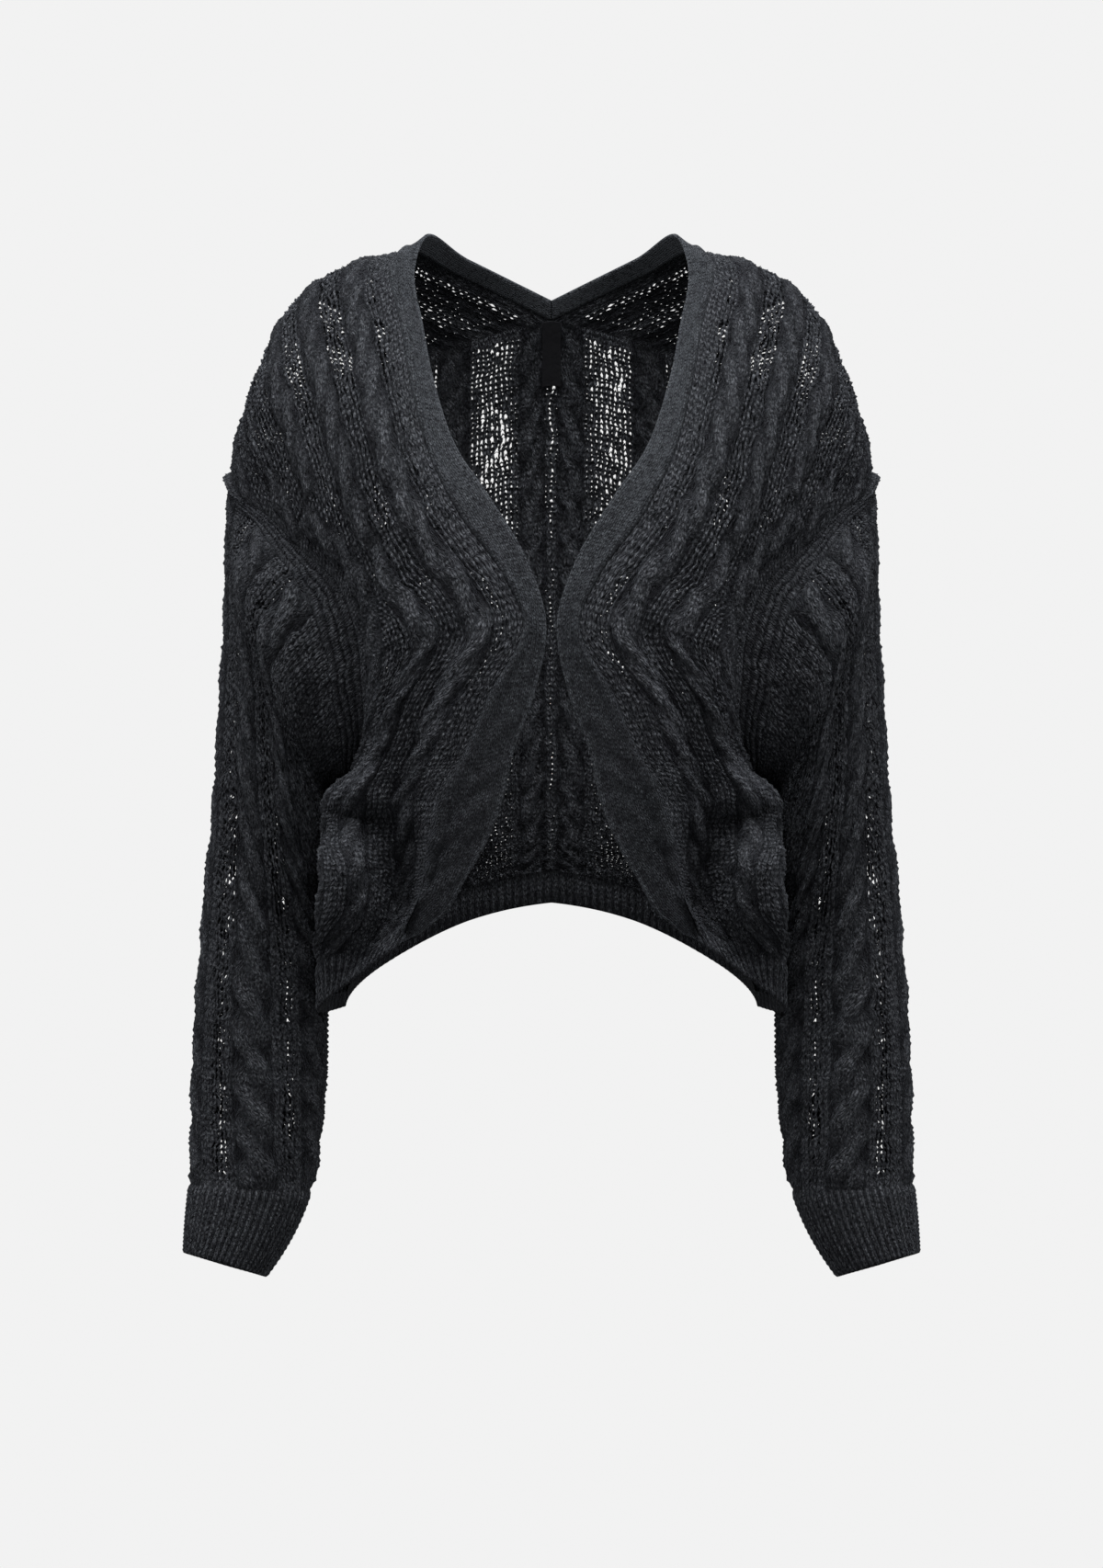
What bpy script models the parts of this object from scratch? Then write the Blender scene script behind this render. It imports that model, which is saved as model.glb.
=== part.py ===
"""Cable knit cardigan, cropped and open at the front, in the shape that it has when worn.

Metres, +Z up. The front faces -Y and the wearer's left is +X. The origin lies midway between the two
points where neck and shoulder meet, which is where a wearer carries it.

Each knitted piece is a closed wall. Its middle surface is lofted through short tables of sections, its
inside is plain, and cables and ribs are raised on its outside.
"""

from collections import namedtuple
import math

import bmesh
import bpy
import numpy as np

# Knit sizes, in metres
CLOTH = 0.0022
SEAM_GAP = 0.0003
CABLE_HEIGHT = 0.004
CROSSING = 0.028
RIB_PITCH = 0.005
RIB_HEIGHT = 0.0014
SEAM_RIDGE = 0.0022
INNER_PITCH = 0.027
FRONT_INNER_PITCH = 0.017

# Cables, each at the middle of its width, measured across the knit from the band, the back's middle
# line or the sleeve's outermost line. One more runs down beside the front's armhole.
Cable = namedtuple("Cable", "middle width")
FRONT_CABLES = [Cable(0.029 + 0.036 * k, 0.018) for k in range(6)]
SIDE_CABLE = Cable(0.023, 0.02)
BACK_CABLES = [Cable(0.013, 0.016)] + [Cable(0.068 + 0.038 * k, 0.022) for k in range(5)]
SLEEVE_CABLES = [Cable(0.018, 0.024), Cable(0.073, 0.026), Cable(0.122, 0.026)]

# Numbers of rows down each piece
SHOULDER_ROWS = 31
BACK_ROWS = 22
SIDE_ROWS = 8
SIDE_CABLE_ROW = 15
SLEEVE_ROWS = 26
ACROSS = 61
AROUND = 120
COLUMN_CLEAR = 0.004
WIDEST_GAP = 0.026
MITRE_LIMIT = 1.6

# Sleeve rings are a little squarer than ellipses, which have a fullness of 2
FULLNESS = 2.2

# Neck tab
TAB_WIDTH = 0.012
TAB_THICK = 0.0014
TAB_CLEAR = 0.0005
TAB_ROWS = 4

MILLIMETRE = 0.001

# The sections give points in millimetres: out from the middle plane, back, and up.
# Front and band, from the seam on the upper back, over the shoulder and down to the hem.
Front = namedtuple("Front", "name edge seam near far side")
FRONT = [
    Front("back seam", (0, 74, -36), (0, 80, -47), (66, 90, -65), (138, 76, -100), (202, 32, -170)),
    Front("behind ridge", (55, 58, -10), (62, 66, -18), (115, 62, -36), (174, 44, -84), (206, 16, -158)),
    Front("ridge", (84, 4, 0), (96, 6, -8), (167, 8, -38.5), (194, 4, -94), (209, 0, -152)),
    Front("collar", (90, -14, -20), (105, -26, -22), (148, -34, -52), (187, -30, -98), (204, -22, -167)),
    Front("collar bone", (84, -44, -61), (97, -58, -60), (135, -66, -86), (168, -62, -130), (182, -45, -184)),
    Front("breast", (76, -72, -100), (90, -80, -100), (120, -90, -122), (146, -86, -158), (160, -62, -206)),
    Front("chest", (61, -92, -143), (77, -98, -148), (100, -107, -166), (122, -103, -190), (137, -76, -228)),
    Front("neck", (41, -106, -173), (58, -112, -185), (82, -119, -205), (107, -112, -228), (127, -83, -252)),
    Front("above", (15, -117, -218), (29, -122, -226), (64, -127, -235), (99, -117, -250), (123, -83, -270)),
    Front("meeting", (5, -121, -250), (18, -125, -253), (55, -129, -258), (94, -119, -268), (122, -82, -288)),
    Front("below", (13, -123, -302), (40, -127, -300), (70, -128, -301), (100, -114, -306), (120, -68, -322)),
    Front("waist", (25, -123, -335), (56, -125, -337), (82, -118, -338), (112, -97, -338), (124, -38, -350)),
    Front("underarm", (32, -121, -366), (71, -121, -364), (94, -104, -364), (138, -81, -371), (126, 6, -362)),
    Front("hollow", (42, -118, -392), (77, -116, -388), (99, -88, -388), (134, -81, -387), (126, 2, -386)),
    Front("fold", (58, -112, -420), (80, -109, -410), (101, -79, -412), (134, -101, -409), (128, -4, -414)),
    Front("roll", (67, -107, -436), (84, -105, -427), (103, -76, -436), (137, -100, -438), (130, -6, -444)),
    Front("hem", (77, -102, -445), (91, -100, -443), (112, -80, -457), (142, -76, -467), (132, -6, -472)),
    Front("edge", (84, -98, -452), (98, -95, -459), (120, -84, -475), (148, -62, -497), (135, -6, -500)),
]

# Back, from its slanting shoulder seams down to the hem. Below the underarm its side is the front's side.
Back = namedtuple("Back", "name middle near far side")
BACK = [
    Back("shoulder seam", (0, 80, -47), (66, 90, -65), (138, 76, -100), (202, 32, -170)),
    Back("shoulder blade", (0, 92, -92), (58, 97, -104), (120, 88, -138), (184, 50, -190)),
    Back("below blade", (0, 99, -145), (52, 102, -156), (105, 95, -182), (157, 68, -216)),
    Back("middle", (0, 102, -205), (48, 104, -213), (96, 97, -232), (134, 79, -256)),
    Back("low middle", (0, 100, -265), (46, 101, -271), (91, 94, -284), (124, 66, -306)),
    Back("above underarm", (0, 95, -320), (46, 96, -326), (94, 86, -337), (123, 34, -348)),
    Back("underarm", (0, 91, -352), (48, 92, -358), (102, 80, -366), (126, 6, -362)),
    Back("first hollow", (0, 89, -374), (50, 90, -381), (108, 76, -389), (126, 2, -386)),
    Back("fold", (0, 87, -394), (52, 88, -402), (112, 72, -414), (128, -4, -414)),
    Back("low fold", (0, 85, -405), (52, 87, -414), (112, 70, -434), (130, -6, -444)),
    Back("hem seam", (0, 84, -414), (52, 86, -425), (110, 68, -452), (132, -6, -472)),
    Back("hem edge", (0, 83, -434), (52, 85, -445), (110, 66, -474), (135, -6, -500)),
]

# Sleeve rings below the armhole: outermost and innermost points (out, up), half depth, middle (back),
# and the lift of the front above the middle.
Ring = namedtuple("Ring", "name outer inner half_depth back lift")
SLEEVE = [
    Ring("sleeve head", (210, -190), (146, -362), 78, 6, 0),
    Ring("upper arm", (211.5, -240), (142, -388), 73, 10, 0),
    Ring("above elbow", (215, -300), (142, -416), 68, 13, 0),
    Ring("elbow", (219, -360), (146, -438), 62, 17, 0),
    Ring("below elbow", (225.5, -425), (146, -470), 58, 20, 0),
    Ring("forearm", (231, -490), (147, -508), 55, 18, 0),
    Ring("low forearm", (233.5, -545), (148, -552), 52, 13, 0),
    Ring("wrist", (234, -590), (153, -594), 48, 7, 0),
    Ring("cuff seam", (235.5, -617), (158, -621), 44, 3, 1),
    Ring("cuff middle", (237.5, -640), (170, -650), 41, -1, 3),
    Ring("cuff edge", (238.5, -661), (187, -676), 38, -4, 4),
]

FRONT_UNDERARM = 12
FRONT_HEM = 16
BACK_UNDERARM = 6
BACK_HEM = 10
SHOULDER_RIDGE = 2
CUFF_SEAM = 9
HEM_STEPS = (0.0, 0.2, 1.0)
CUFF_STEPS = (0.0, 0.2, 1.0, 2.0)

CHARCOAL = (0.018, 0.020, 0.023, 1.0)
TAB_BLACK = (0.010, 0.010, 0.011, 1.0)

Wall = namedtuple("Wall", "points normals")
Row = namedtuple("Row", "points at")


def unit(vectors):
    """Scale vectors to length one."""
    return vectors / np.linalg.norm(vectors, axis=-1, keepdims=True)


def mitre(first, second):
    """Give the thickness direction that two pieces share where they meet along a seam."""
    shared = (first + second) / (1 + np.sum(first * second, axis=-1, keepdims=True))
    length = np.linalg.norm(shared, axis=-1, keepdims=True)
    return shared * np.minimum(1, MITRE_LIMIT / length)


def curve(points, stations):
    """Read a smooth curve through points, at places counted in points from the first."""
    points = np.asarray(points, float)
    stations = np.asarray(stations, float)
    step = np.linalg.norm(np.diff(points, axis=0), axis=-1)
    while step.ndim > 1:
        step = step.mean(axis=-1)
    knots = np.concatenate([[0], np.cumsum(step)])
    slope = np.gradient(points, knots, axis=0, edge_order=2)
    shape = (len(stations),) + (1,) * (points.ndim - 1)
    first = np.clip(np.floor(stations).astype(int), 0, len(points) - 2)
    t = (stations - first).reshape(shape)
    span = step[first].reshape(shape)
    start = (1 + 2 * t) * (1 - t) ** 2 * points[first] + t * (1 - t) ** 2 * span * slope[first]
    end = t * t * (3 - 2 * t) * points[first + 1] + t * t * (t - 1) * span * slope[first + 1]
    return start + end


def cornered_curve(points, stations, corner):
    """Read a curve that has a corner at one of its points."""
    above = curve(points[:corner + 1], stations[stations <= corner])
    below = curve(points[corner:], stations[stations > corner] - corner)
    return np.concatenate([above, below])


def even_stations(points, first, last, count):
    """Space stations evenly by length along a line of points, from one point to another."""
    dense = np.linspace(first, last, 40 * (last - first) + 1)
    line = curve(points, dense)
    run = arc(line)
    return np.interp(np.linspace(0, run[-1], count + 1), run, dense)


def arc(line):
    """Give the length along a line at each of its points."""
    step = np.linalg.norm(np.diff(line, axis=0), axis=1)
    return np.concatenate([[0], np.cumsum(step)])


def table(sections, column):
    """Read one column of a table of sections, in metres."""
    return np.array([getattr(section, column) for section in sections], float) * MILLIMETRE


def between(run, values, at):
    """Read points or normals at lengths along a row."""
    return np.stack([np.interp(at, run, values[:, axis]) for axis in range(3)], axis=1)


def wall_from_grid(grid, outward, closed=False):
    """Give a grid of points its outward directions."""
    down = np.gradient(grid, axis=0)
    across = np.gradient(grid, axis=1)
    if closed:
        across[:, 0] = across[:, -1] = (grid[:, 1] - grid[:, -2]) / 2
    return Wall(grid, outward * unit(np.cross(down, across)))


def loft(lines, sign):
    """Fill a grid across lines that run down a piece."""
    stations = np.linspace(0, len(lines) - 1, ACROSS)
    rows = [curve(row, stations) for row in np.stack(lines, axis=1)]
    return wall_from_grid(np.array(rows), sign)


def rope(across, along, width):
    """Give the height, from 0 to 1, of a cable of two strands that cross."""
    turn = math.pi * along / CROSSING
    swing = 0.22 * width * np.cos(turn)
    half = 0.3 * width
    height = np.zeros_like(across)
    for side in (-1, 1):
        lift = 0.65 + side * 0.35 * np.sin(-turn)
        dome = np.sqrt(np.maximum(0, 1 - ((across - side * swing) / half) ** 2))
        height = np.maximum(height, lift * dome)
    return height


def front_cables(row, length):
    """List the cables that cross a row of the front. From the chest down, the last follows the side."""
    if row < SIDE_CABLE_ROW:
        return FRONT_CABLES
    side = Cable(length - SIDE_CABLE.middle, SIDE_CABLE.width)
    clear = side.middle - side.width
    return [cable for cable in FRONT_CABLES if cable.middle < clear] + [side]


def cable_columns(start, cables, length):
    """Place the columns of a row: its ends, each cable's feet and crests, and more in each wide gap."""
    columns = [start]
    for middle, width in cables:
        for offset in (-width / 2, -width / 6, width / 6, width / 2):
            place = middle + offset
            if columns[-1] + COLUMN_CLEAR < place < length - COLUMN_CLEAR:
                columns += filled(columns[-1], place)
    return np.array(columns + filled(columns[-1], length))


def filled(last, place):
    """Give the columns after one place, up to and with the next, none further apart than the widest gap."""
    return list(np.linspace(last, place, math.ceil((place - last) / WIDEST_GAP) + 1)[1:])


def cable_relief(at, length, along, cables):
    """Raise the cables, faded out where a row ends at a seam."""
    height = np.zeros_like(at)
    for middle, width in cables:
        height = np.maximum(height, rope(at - middle, along, width))
    fade = np.clip(np.minimum(at, length - at) / 0.008, 0, 1)
    return CABLE_HEIGHT * height * fade


def mirrored(points):
    """Give the same points on the other side of the middle plane."""
    return points * np.array([-1, 1, 1])


def stitch(a, a_at, b, b_at, turn=math.inf):
    """Join two rows of vertices with triangles, taking the next vertex of either row in turn.

    Where both are due, the second row's goes first up to a turn, and the first row's after it.
    """
    faces = []
    i = k = 0
    while i < len(a) - 1 or k < len(b) - 1:
        tie = -1e-6 if i < turn else 1e-6
        if k == len(b) - 1 or (i < len(a) - 1 and a_at[i + 1] < b_at[k + 1] + tie):
            faces.append((a[i], a[i + 1], b[k]))
            i += 1
        else:
            faces.append((a[i], b[k + 1], b[k]))
            k += 1
    return faces


def add_rows(vertices, rows, closed):
    """Add rows of points to a piece and give their numbers and places. A ring ends on its first point."""
    numbered = []
    for row in rows:
        start = len(vertices)
        points = row.points[:-1] if closed else row.points
        vertices.extend(map(tuple, points))
        numbers = list(range(start, len(vertices)))
        if closed:
            numbers.append(start)
        numbered.append((numbers, list(row.at)))
    return numbered


def wall_faces(outer, inner, ends, closed=False, turn=math.inf):
    """Join a wall's outer and inner rows, and close its top, its bottom and the ends of its rows."""
    vertices = []
    outside = add_rows(vertices, outer, closed)
    inside = add_rows(vertices, inner, closed)
    faces = []
    for skin in (outside, inside):
        for upper, lower in zip(skin, skin[1:]):
            faces += stitch(*upper, *lower)
    faces += stitch(*outside[0], *inside[0], turn)
    faces += stitch(*outside[-1], *inside[-1])
    for end in ends:
        for k in range(len(outer) - 1):
            a, b = outside[k][0][end], outside[k + 1][0][end]
            c, d = inside[k][0][end], inside[k + 1][0][end]
            faces += [(a, b, c), (b, d, c)]
    return np.array(vertices), faces


def build_panel(name, outer, inner, colour, mirror):
    """Make one open wall with four edges."""
    points, faces = wall_faces(outer, inner, ends=(0, -1))
    return add_piece(name, mirrored(points) if mirror else points, faces, colour)


def build_tube(name, outer, inner, colour, mirror, turn=math.inf):
    """Make one wall round a hollow."""
    points, faces = wall_faces(outer, inner, ends=(), closed=True, turn=turn)
    return add_piece(name, mirrored(points) if mirror else points, faces, colour)


def build_whole(name, outer, inner, colour):
    """Make one wall from its left half, which starts in the middle plane, and the mirror image of it."""
    for row in outer + inner:
        row.points[0, 0] = 0
    points, faces = wall_faces(outer, inner, ends=(-1,))
    twin = np.arange(len(points))
    off_middle = np.flatnonzero(points[:, 0])
    twin[off_middle] = len(points) + np.arange(len(off_middle))
    faces = faces + [(twin[c], twin[b], twin[a]) for a, b, c in faces]
    return add_piece(name, np.concatenate([points, mirrored(points[off_middle])]), faces, colour)


def add_piece(name, points, faces, colour):
    """Add a mesh object with its faces outward and its own material."""
    mesh = bpy.data.meshes.new(name)
    mesh.from_pydata([tuple(p) for p in points], [], faces)
    shell = bmesh.new()
    shell.from_mesh(mesh)
    bmesh.ops.recalc_face_normals(shell, faces=shell.faces)
    shell.to_mesh(mesh)
    shell.free()
    piece = bpy.data.objects.new(name, mesh)
    bpy.context.scene.collection.objects.link(piece)
    mesh.materials.append(knit_material(name, colour))
    return piece


def knit_material(name, colour):
    """Make the matt yarn of one piece."""
    material = bpy.data.materials.new(name)
    material.use_nodes = True
    shader = material.node_tree.nodes["Principled BSDF"]
    shader.inputs["Base Color"].default_value = colour
    shader.inputs["Roughness"].default_value = 0.95
    shader.inputs["Metallic"].default_value = 0.0
    return material


def skins(wall, columns, inner_columns, relief, measure):
    """Read the outer and inner rows of a wall at the columns asked for, with relief raised outside."""
    outer = []
    inner = []
    for row, (points, normals) in enumerate(zip(wall.points, wall.normals)):
        run = arc(points)
        at = columns(row, run)
        height = CLOTH / 2 + relief(row, at, run)
        raised = between(run, points, at) + between(run, normals, at) * height[:, None]
        outer.append(Row(raised, measure(at, run)))
        at = inner_columns(row, run)
        lowered = between(run, points, at) - between(run, normals, at) * CLOTH / 2
        inner.append(Row(lowered, measure(at, run)))
    return outer, inner


def evenly(length, pitch, least=1):
    """Space columns evenly along a row, about a pitch apart."""
    return np.linspace(0, length, max(least, round(length / pitch)) + 1)


def from_start(at, run):
    """Measure a row from its first edge."""
    return at


def from_top(at, run):
    """Measure a sleeve's ring from its outermost line."""
    return at - run[len(run) // 2]


def share_of_row(at, run):
    """Measure a row as a share of its length, so that ribs run straight from row to row."""
    return at / run[-1]


def share_seam(first, first_place, second, second_place):
    """Give two walls the same thickness directions along the seam where they meet."""
    shared = mitre(first.normals[first_place], second.normals[second_place])
    first.normals[first_place] = shared
    second.normals[second_place] = shared


def drawn_in(wall, sides):
    """Draw the edges of a wall in along its surface, by half a seam gap each."""
    points = wall.points.copy()
    edges = {
        "top": (np.s_[0], np.s_[1]),
        "bottom": (np.s_[-1], np.s_[-2]),
        "first": (np.s_[:, 0], np.s_[:, 1]),
        "last": (np.s_[:, -1], np.s_[:, -2]),
    }
    for side in sides:
        edge, next_line = edges[side]
        along = unit(np.gradient(wall.points[edge], axis=0))
        inward = wall.points[next_line] - wall.points[edge]
        inward -= along * np.sum(inward * along, axis=1, keepdims=True)
        points[edge] += SEAM_GAP / 2 * unit(inward)
    return Wall(points, wall.normals)


def part_of(wall, first, last):
    """Take some rows of a wall."""
    return Wall(wall.points[first:last + 1].copy(), wall.normals[first:last + 1].copy())


def front_walls():
    """Loft the left front and its band, down to the hem edge."""
    middle = (table(FRONT, "near") + table(FRONT, "far")) / 2
    side = table(FRONT, "side")
    upper = even_stations(middle, 0, FRONT_UNDERARM, SHOULDER_ROWS)
    lower = FRONT_UNDERARM + even_stations(side[FRONT_UNDERARM:], 0, FRONT_HEM - FRONT_UNDERARM, SIDE_ROWS)
    stations = np.concatenate([upper, lower[1:], FRONT_HEM + np.array(HEM_STEPS[1:])])
    edge, seam, near, far = (curve(table(FRONT, name), stations) for name in ("edge", "seam", "near", "far"))
    front = loft([seam, near, far, cornered_curve(side, stations, FRONT_UNDERARM)], 1)
    band = loft([edge, (edge + seam) / 2, seam], 1)
    for wall, place in ((band, np.s_[0]), (front, np.s_[0, 0])):
        wall.normals[place] = in_middle_plane(wall.normals[place])
    return front, band


def in_middle_plane(normals):
    """Turn directions into the garment's middle plane."""
    return unit(normals * np.array([0, 1, 1]))


def back_wall():
    """Loft the left half of the back, down to the hem edge."""
    middle = (table(BACK, "middle") + table(BACK, "near")) / 2
    side = table(BACK, "side")
    upper = even_stations(middle, 0, BACK_UNDERARM, BACK_ROWS)
    lower = BACK_UNDERARM + even_stations(side[BACK_UNDERARM:], 0, BACK_HEM - BACK_UNDERARM, SIDE_ROWS)
    stations = np.concatenate([upper, lower[1:], BACK_HEM + np.array(HEM_STEPS[1:])])
    lines = [curve(table(BACK, name), stations) for name in ("middle", "near", "far")]
    back = loft(lines + [cornered_curve(side, stations, BACK_UNDERARM)], -1)
    back.normals[:, 0] = in_middle_plane(back.normals[:, 0])
    return back


def armhole_loop(front, back):
    """Follow the armhole from the underarm, up the back, over the shoulder and down the front."""
    up = back.points[BACK_ROWS:0:-1, -1]
    down = front.points[:SHOULDER_ROWS + 1, -1]
    return np.concatenate([up, down])


def armhole_top(loop):
    """Measure along the armhole to the shoulder's lowest outer point."""
    top = np.array(FRONT[SHOULDER_RIDGE].side) * MILLIMETRE
    return arc(loop)[np.argmin(np.linalg.norm(loop - top, axis=1))]


def ring_angles(loop):
    """Give each point of the armhole its angle round the sleeve: 0 on top and pi at the underarm."""
    run = arc(loop)
    return np.interp(run, [0, armhole_top(loop), run[-1]], [-math.pi, 0, math.pi])


def sleeve_ring(ring, angles):
    """Place the points of one ring of the sleeve."""
    outer, inner = np.array(ring.outer), np.array(ring.inner)
    centre = (outer + inner) / 2
    reach = (outer - inner) / 2
    across, forward = np.cos(angles), np.sin(angles)
    fuller = (np.abs(across) ** FULLNESS + np.abs(forward) ** FULLNESS) ** (-1 / FULLNESS)
    out, up = (centre + reach * (across * fuller)[:, None]).T
    back = ring.back - ring.half_depth * forward * fuller
    return np.stack([out, back, up + ring.lift * forward], axis=1) * MILLIMETRE


def sleeve_wall(loop):
    """Loft the left sleeve and its cuff from the armhole down."""
    angles = np.linspace(-math.pi, math.pi, AROUND + 1)
    loop_angles = ring_angles(loop)
    armhole = between(loop_angles, loop, angles)
    rings = np.array([armhole] + [sleeve_ring(ring, angles) for ring in SLEEVE])
    front_line = rings[:, 3 * AROUND // 4]
    upper = even_stations(front_line, 0, CUFF_SEAM, SLEEVE_ROWS)
    stations = np.concatenate([upper, CUFF_SEAM + np.array(CUFF_STEPS[1:])])
    return wall_from_grid(curve(rings, stations), -1, closed=True)


def share_armhole(front, back, sleeve, loop):
    """Share thickness directions round the armhole, and give the sleeve's directions at its points."""
    angles = np.linspace(-math.pi, math.pi, AROUND + 1)
    loop_angles = ring_angles(loop)
    own = between(angles, sleeve.normals[0], loop_angles)
    body = np.concatenate([back.normals[BACK_ROWS:0:-1, -1], front.normals[:SHOULDER_ROWS + 1, -1]])
    body[0] = body[-1]
    own[0] = own[-1] = unit(own[0] + own[-1])
    shared = mitre(unit(body), own)
    back.normals[BACK_ROWS:0:-1, -1] = shared[:BACK_ROWS]
    front.normals[:SHOULDER_ROWS + 1, -1] = shared[BACK_ROWS:]
    back.normals[0, -1] = shared[BACK_ROWS]
    return shared


def build_front(front, band, mirror, suffix):
    """Build one front, its hem rib and its band."""
    hem_row = SHOULDER_ROWS + SIDE_ROWS

    def columns(row, run):
        if row == 0:
            return evenly(run[-1], RIB_PITCH * 2)
        if row == hem_row:
            return evenly(run[-1], RIB_PITCH)
        return cable_columns(0.0, front_cables(row, run[-1]), run[-1])

    def inner_columns(row, run):
        return evenly(run[-1], INNER_PITCH if row == 0 else FRONT_INNER_PITCH, 4)

    def relief(row, at, run):
        if row in (0, hem_row):
            return np.zeros_like(at)
        return cable_relief(at, run[-1], (row + 0.5) * CROSSING / 2, front_cables(row, run[-1]))

    panel = drawn_in(part_of(front, 0, hem_row), ("top", "bottom", "first", "last"))
    outer, inner = skins(panel, columns, inner_columns, relief, from_start)
    build_panel("front_" + suffix, outer, inner, CHARCOAL, mirror)
    hem = drawn_in(part_of(front, hem_row, len(front.points) - 1), ("top", "first", "last"))
    outer, inner = skins(hem, *hem_rules(FRONT_INNER_PITCH), share_of_row)
    build_panel("hem_front_" + suffix, outer, inner, CHARCOAL, mirror)
    build_band(band, mirror, suffix)


def hem_rules(inner_pitch):
    """Give the columns and relief of a ribbed hem, which starts plain at its seam."""
    def columns(row, run):
        ribs = round(run[-1] / RIB_PITCH)
        return np.linspace(0, run[-1], (ribs if row == 0 else 2 * ribs) + 1)

    def inner_columns(row, run):
        return evenly(run[-1], inner_pitch, 4)

    def relief(row, at, run):
        if row == 0:
            return np.zeros_like(at)
        return RIB_HEIGHT * (np.arange(len(at)) % 2)

    return columns, inner_columns, relief


def build_band(band, mirror, suffix):
    """Build the plain strip along one front edge, with a ridge beside its seam."""
    shares = np.array([0, 0.5, 0.88, 1])
    heights = np.array([0, 0.0005, SEAM_RIDGE, 0])
    strip = drawn_in(band, ("top", "last"))
    outer, inner = skins(
        strip,
        lambda row, run: shares * run[-1],
        lambda row, run: np.array([0, 0.5, 1]) * run[-1],
        lambda row, at, run: heights,
        share_of_row,
    )
    build_panel("band_" + suffix, outer, inner, CHARCOAL, mirror)


def build_back(back):
    """Build the back and its hem rib."""
    hem_row = BACK_ROWS + SIDE_ROWS

    def columns(row, run):
        if row == 0:
            return evenly(run[-1], RIB_PITCH * 2)
        if row == hem_row:
            return evenly(run[-1], RIB_PITCH)
        return cable_columns(0.0, BACK_CABLES, run[-1])

    def inner_columns(row, run):
        return evenly(run[-1], INNER_PITCH, 4)

    def relief(row, at, run):
        if row in (0, hem_row):
            return np.zeros_like(at)
        return cable_relief(at, run[-1], (row + 0.5) * CROSSING / 2, BACK_CABLES)

    panel = drawn_in(part_of(back, 0, hem_row), ("top", "bottom", "last"))
    outer, inner = skins(panel, columns, inner_columns, relief, from_start)
    build_whole("back", outer, inner, CHARCOAL)
    hem = drawn_in(part_of(back, hem_row, len(back.points) - 1), ("top", "last"))
    outer, inner = skins(hem, *hem_rules(INNER_PITCH), share_of_row)
    build_whole("hem_back", outer, inner, CHARCOAL)


def build_sleeve(sleeve, loop, shared, mirror, suffix):
    """Build one sleeve and its cuff."""
    loop_run = arc(loop)
    first_foot = SLEEVE_CABLES[0].middle - SLEEVE_CABLES[0].width / 2

    def columns(row, run):
        if row == 0:
            return loop_run
        if row == SLEEVE_ROWS:
            return evenly(run[-1], RIB_PITCH)
        top = run[len(run) // 2]
        front = cable_columns(first_foot, SLEEVE_CABLES, run[-1] - top)
        behind = cable_columns(first_foot, SLEEVE_CABLES, top)
        return np.concatenate([top - behind[::-1], top + front])

    def inner_columns(row, run):
        return loop_run if row == 0 else evenly(run[-1], INNER_PITCH, 8)

    def relief(row, at, run):
        if row in (0, SLEEVE_ROWS):
            return np.zeros_like(at)
        height = np.zeros_like(at)
        for cable in SLEEVE_CABLES:
            away = np.abs(at - run[len(run) // 2]) - cable.middle
            height = np.maximum(height, rope(away, (row + 0.5) * CROSSING / 2, cable.width))
        return CABLE_HEIGHT * height

    tube = drawn_in(part_of(sleeve, 0, SLEEVE_ROWS), ("top", "bottom"))
    outer, inner = skins(tube, columns, inner_columns, relief, from_top)
    outer[0], inner[0] = armhole_rows(tube, loop, shared)
    build_tube("sleeve_" + suffix, outer, inner, CHARCOAL, mirror, turn=BACK_ROWS)
    cuff = drawn_in(part_of(sleeve, SLEEVE_ROWS, len(sleeve.points) - 1), ("top",))
    outer, inner = skins(cuff, *cuff_rules(), share_of_row)
    build_tube("cuff_" + suffix, outer, inner, CHARCOAL, mirror)


def armhole_rows(tube, loop, shared):
    """Give the sleeve's first outer and inner rows, at the points where the body pieces end."""
    run = arc(loop)
    angles = np.linspace(-math.pi, math.pi, AROUND + 1)
    below = between(angles, tube.points[1], ring_angles(loop))
    along = np.gradient(loop, axis=0)
    along[0] = along[-1] = loop[1] - loop[-2]
    along = unit(along)
    inward = below - loop
    inward -= along * np.sum(inward * along, axis=1, keepdims=True)
    edge = loop + SEAM_GAP / 2 * unit(inward)
    at = run - armhole_top(loop)
    return Row(edge + shared * CLOTH / 2, at), Row(edge - shared * CLOTH / 2, at)


def cuff_rules():
    """Give the columns and relief of a ribbed cuff."""
    ribs = []

    def columns(row, run):
        if not ribs:
            ribs.append(round(run[-1] / RIB_PITCH))
        return np.linspace(0, run[-1], (ribs[0] if row == 0 else 2 * ribs[0]) + 1)

    def inner_columns(row, run):
        return evenly(run[-1], INNER_PITCH, 8)

    def relief(row, at, run):
        if row == 0:
            return np.zeros_like(at)
        return RIB_HEIGHT * (np.arange(len(at)) % 2)

    return columns, inner_columns, relief


def build_tab(back):
    """Build the plain tab that hangs inside the back neck, just clear of the back."""
    at = np.array([0, TAB_WIDTH / 2])
    layers = []
    for depth in (CLOTH / 2 + TAB_CLEAR, CLOTH / 2 + TAB_CLEAR + TAB_THICK):
        rows = []
        for points, normals in zip(back.points[:TAB_ROWS], back.normals[:TAB_ROWS]):
            run = arc(points)
            rows.append(Row(between(run, points, at) - between(run, normals, at) * depth, at))
        layers.append(rows)
    build_whole("neck_tab", layers[0], layers[1], TAB_BLACK)


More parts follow.
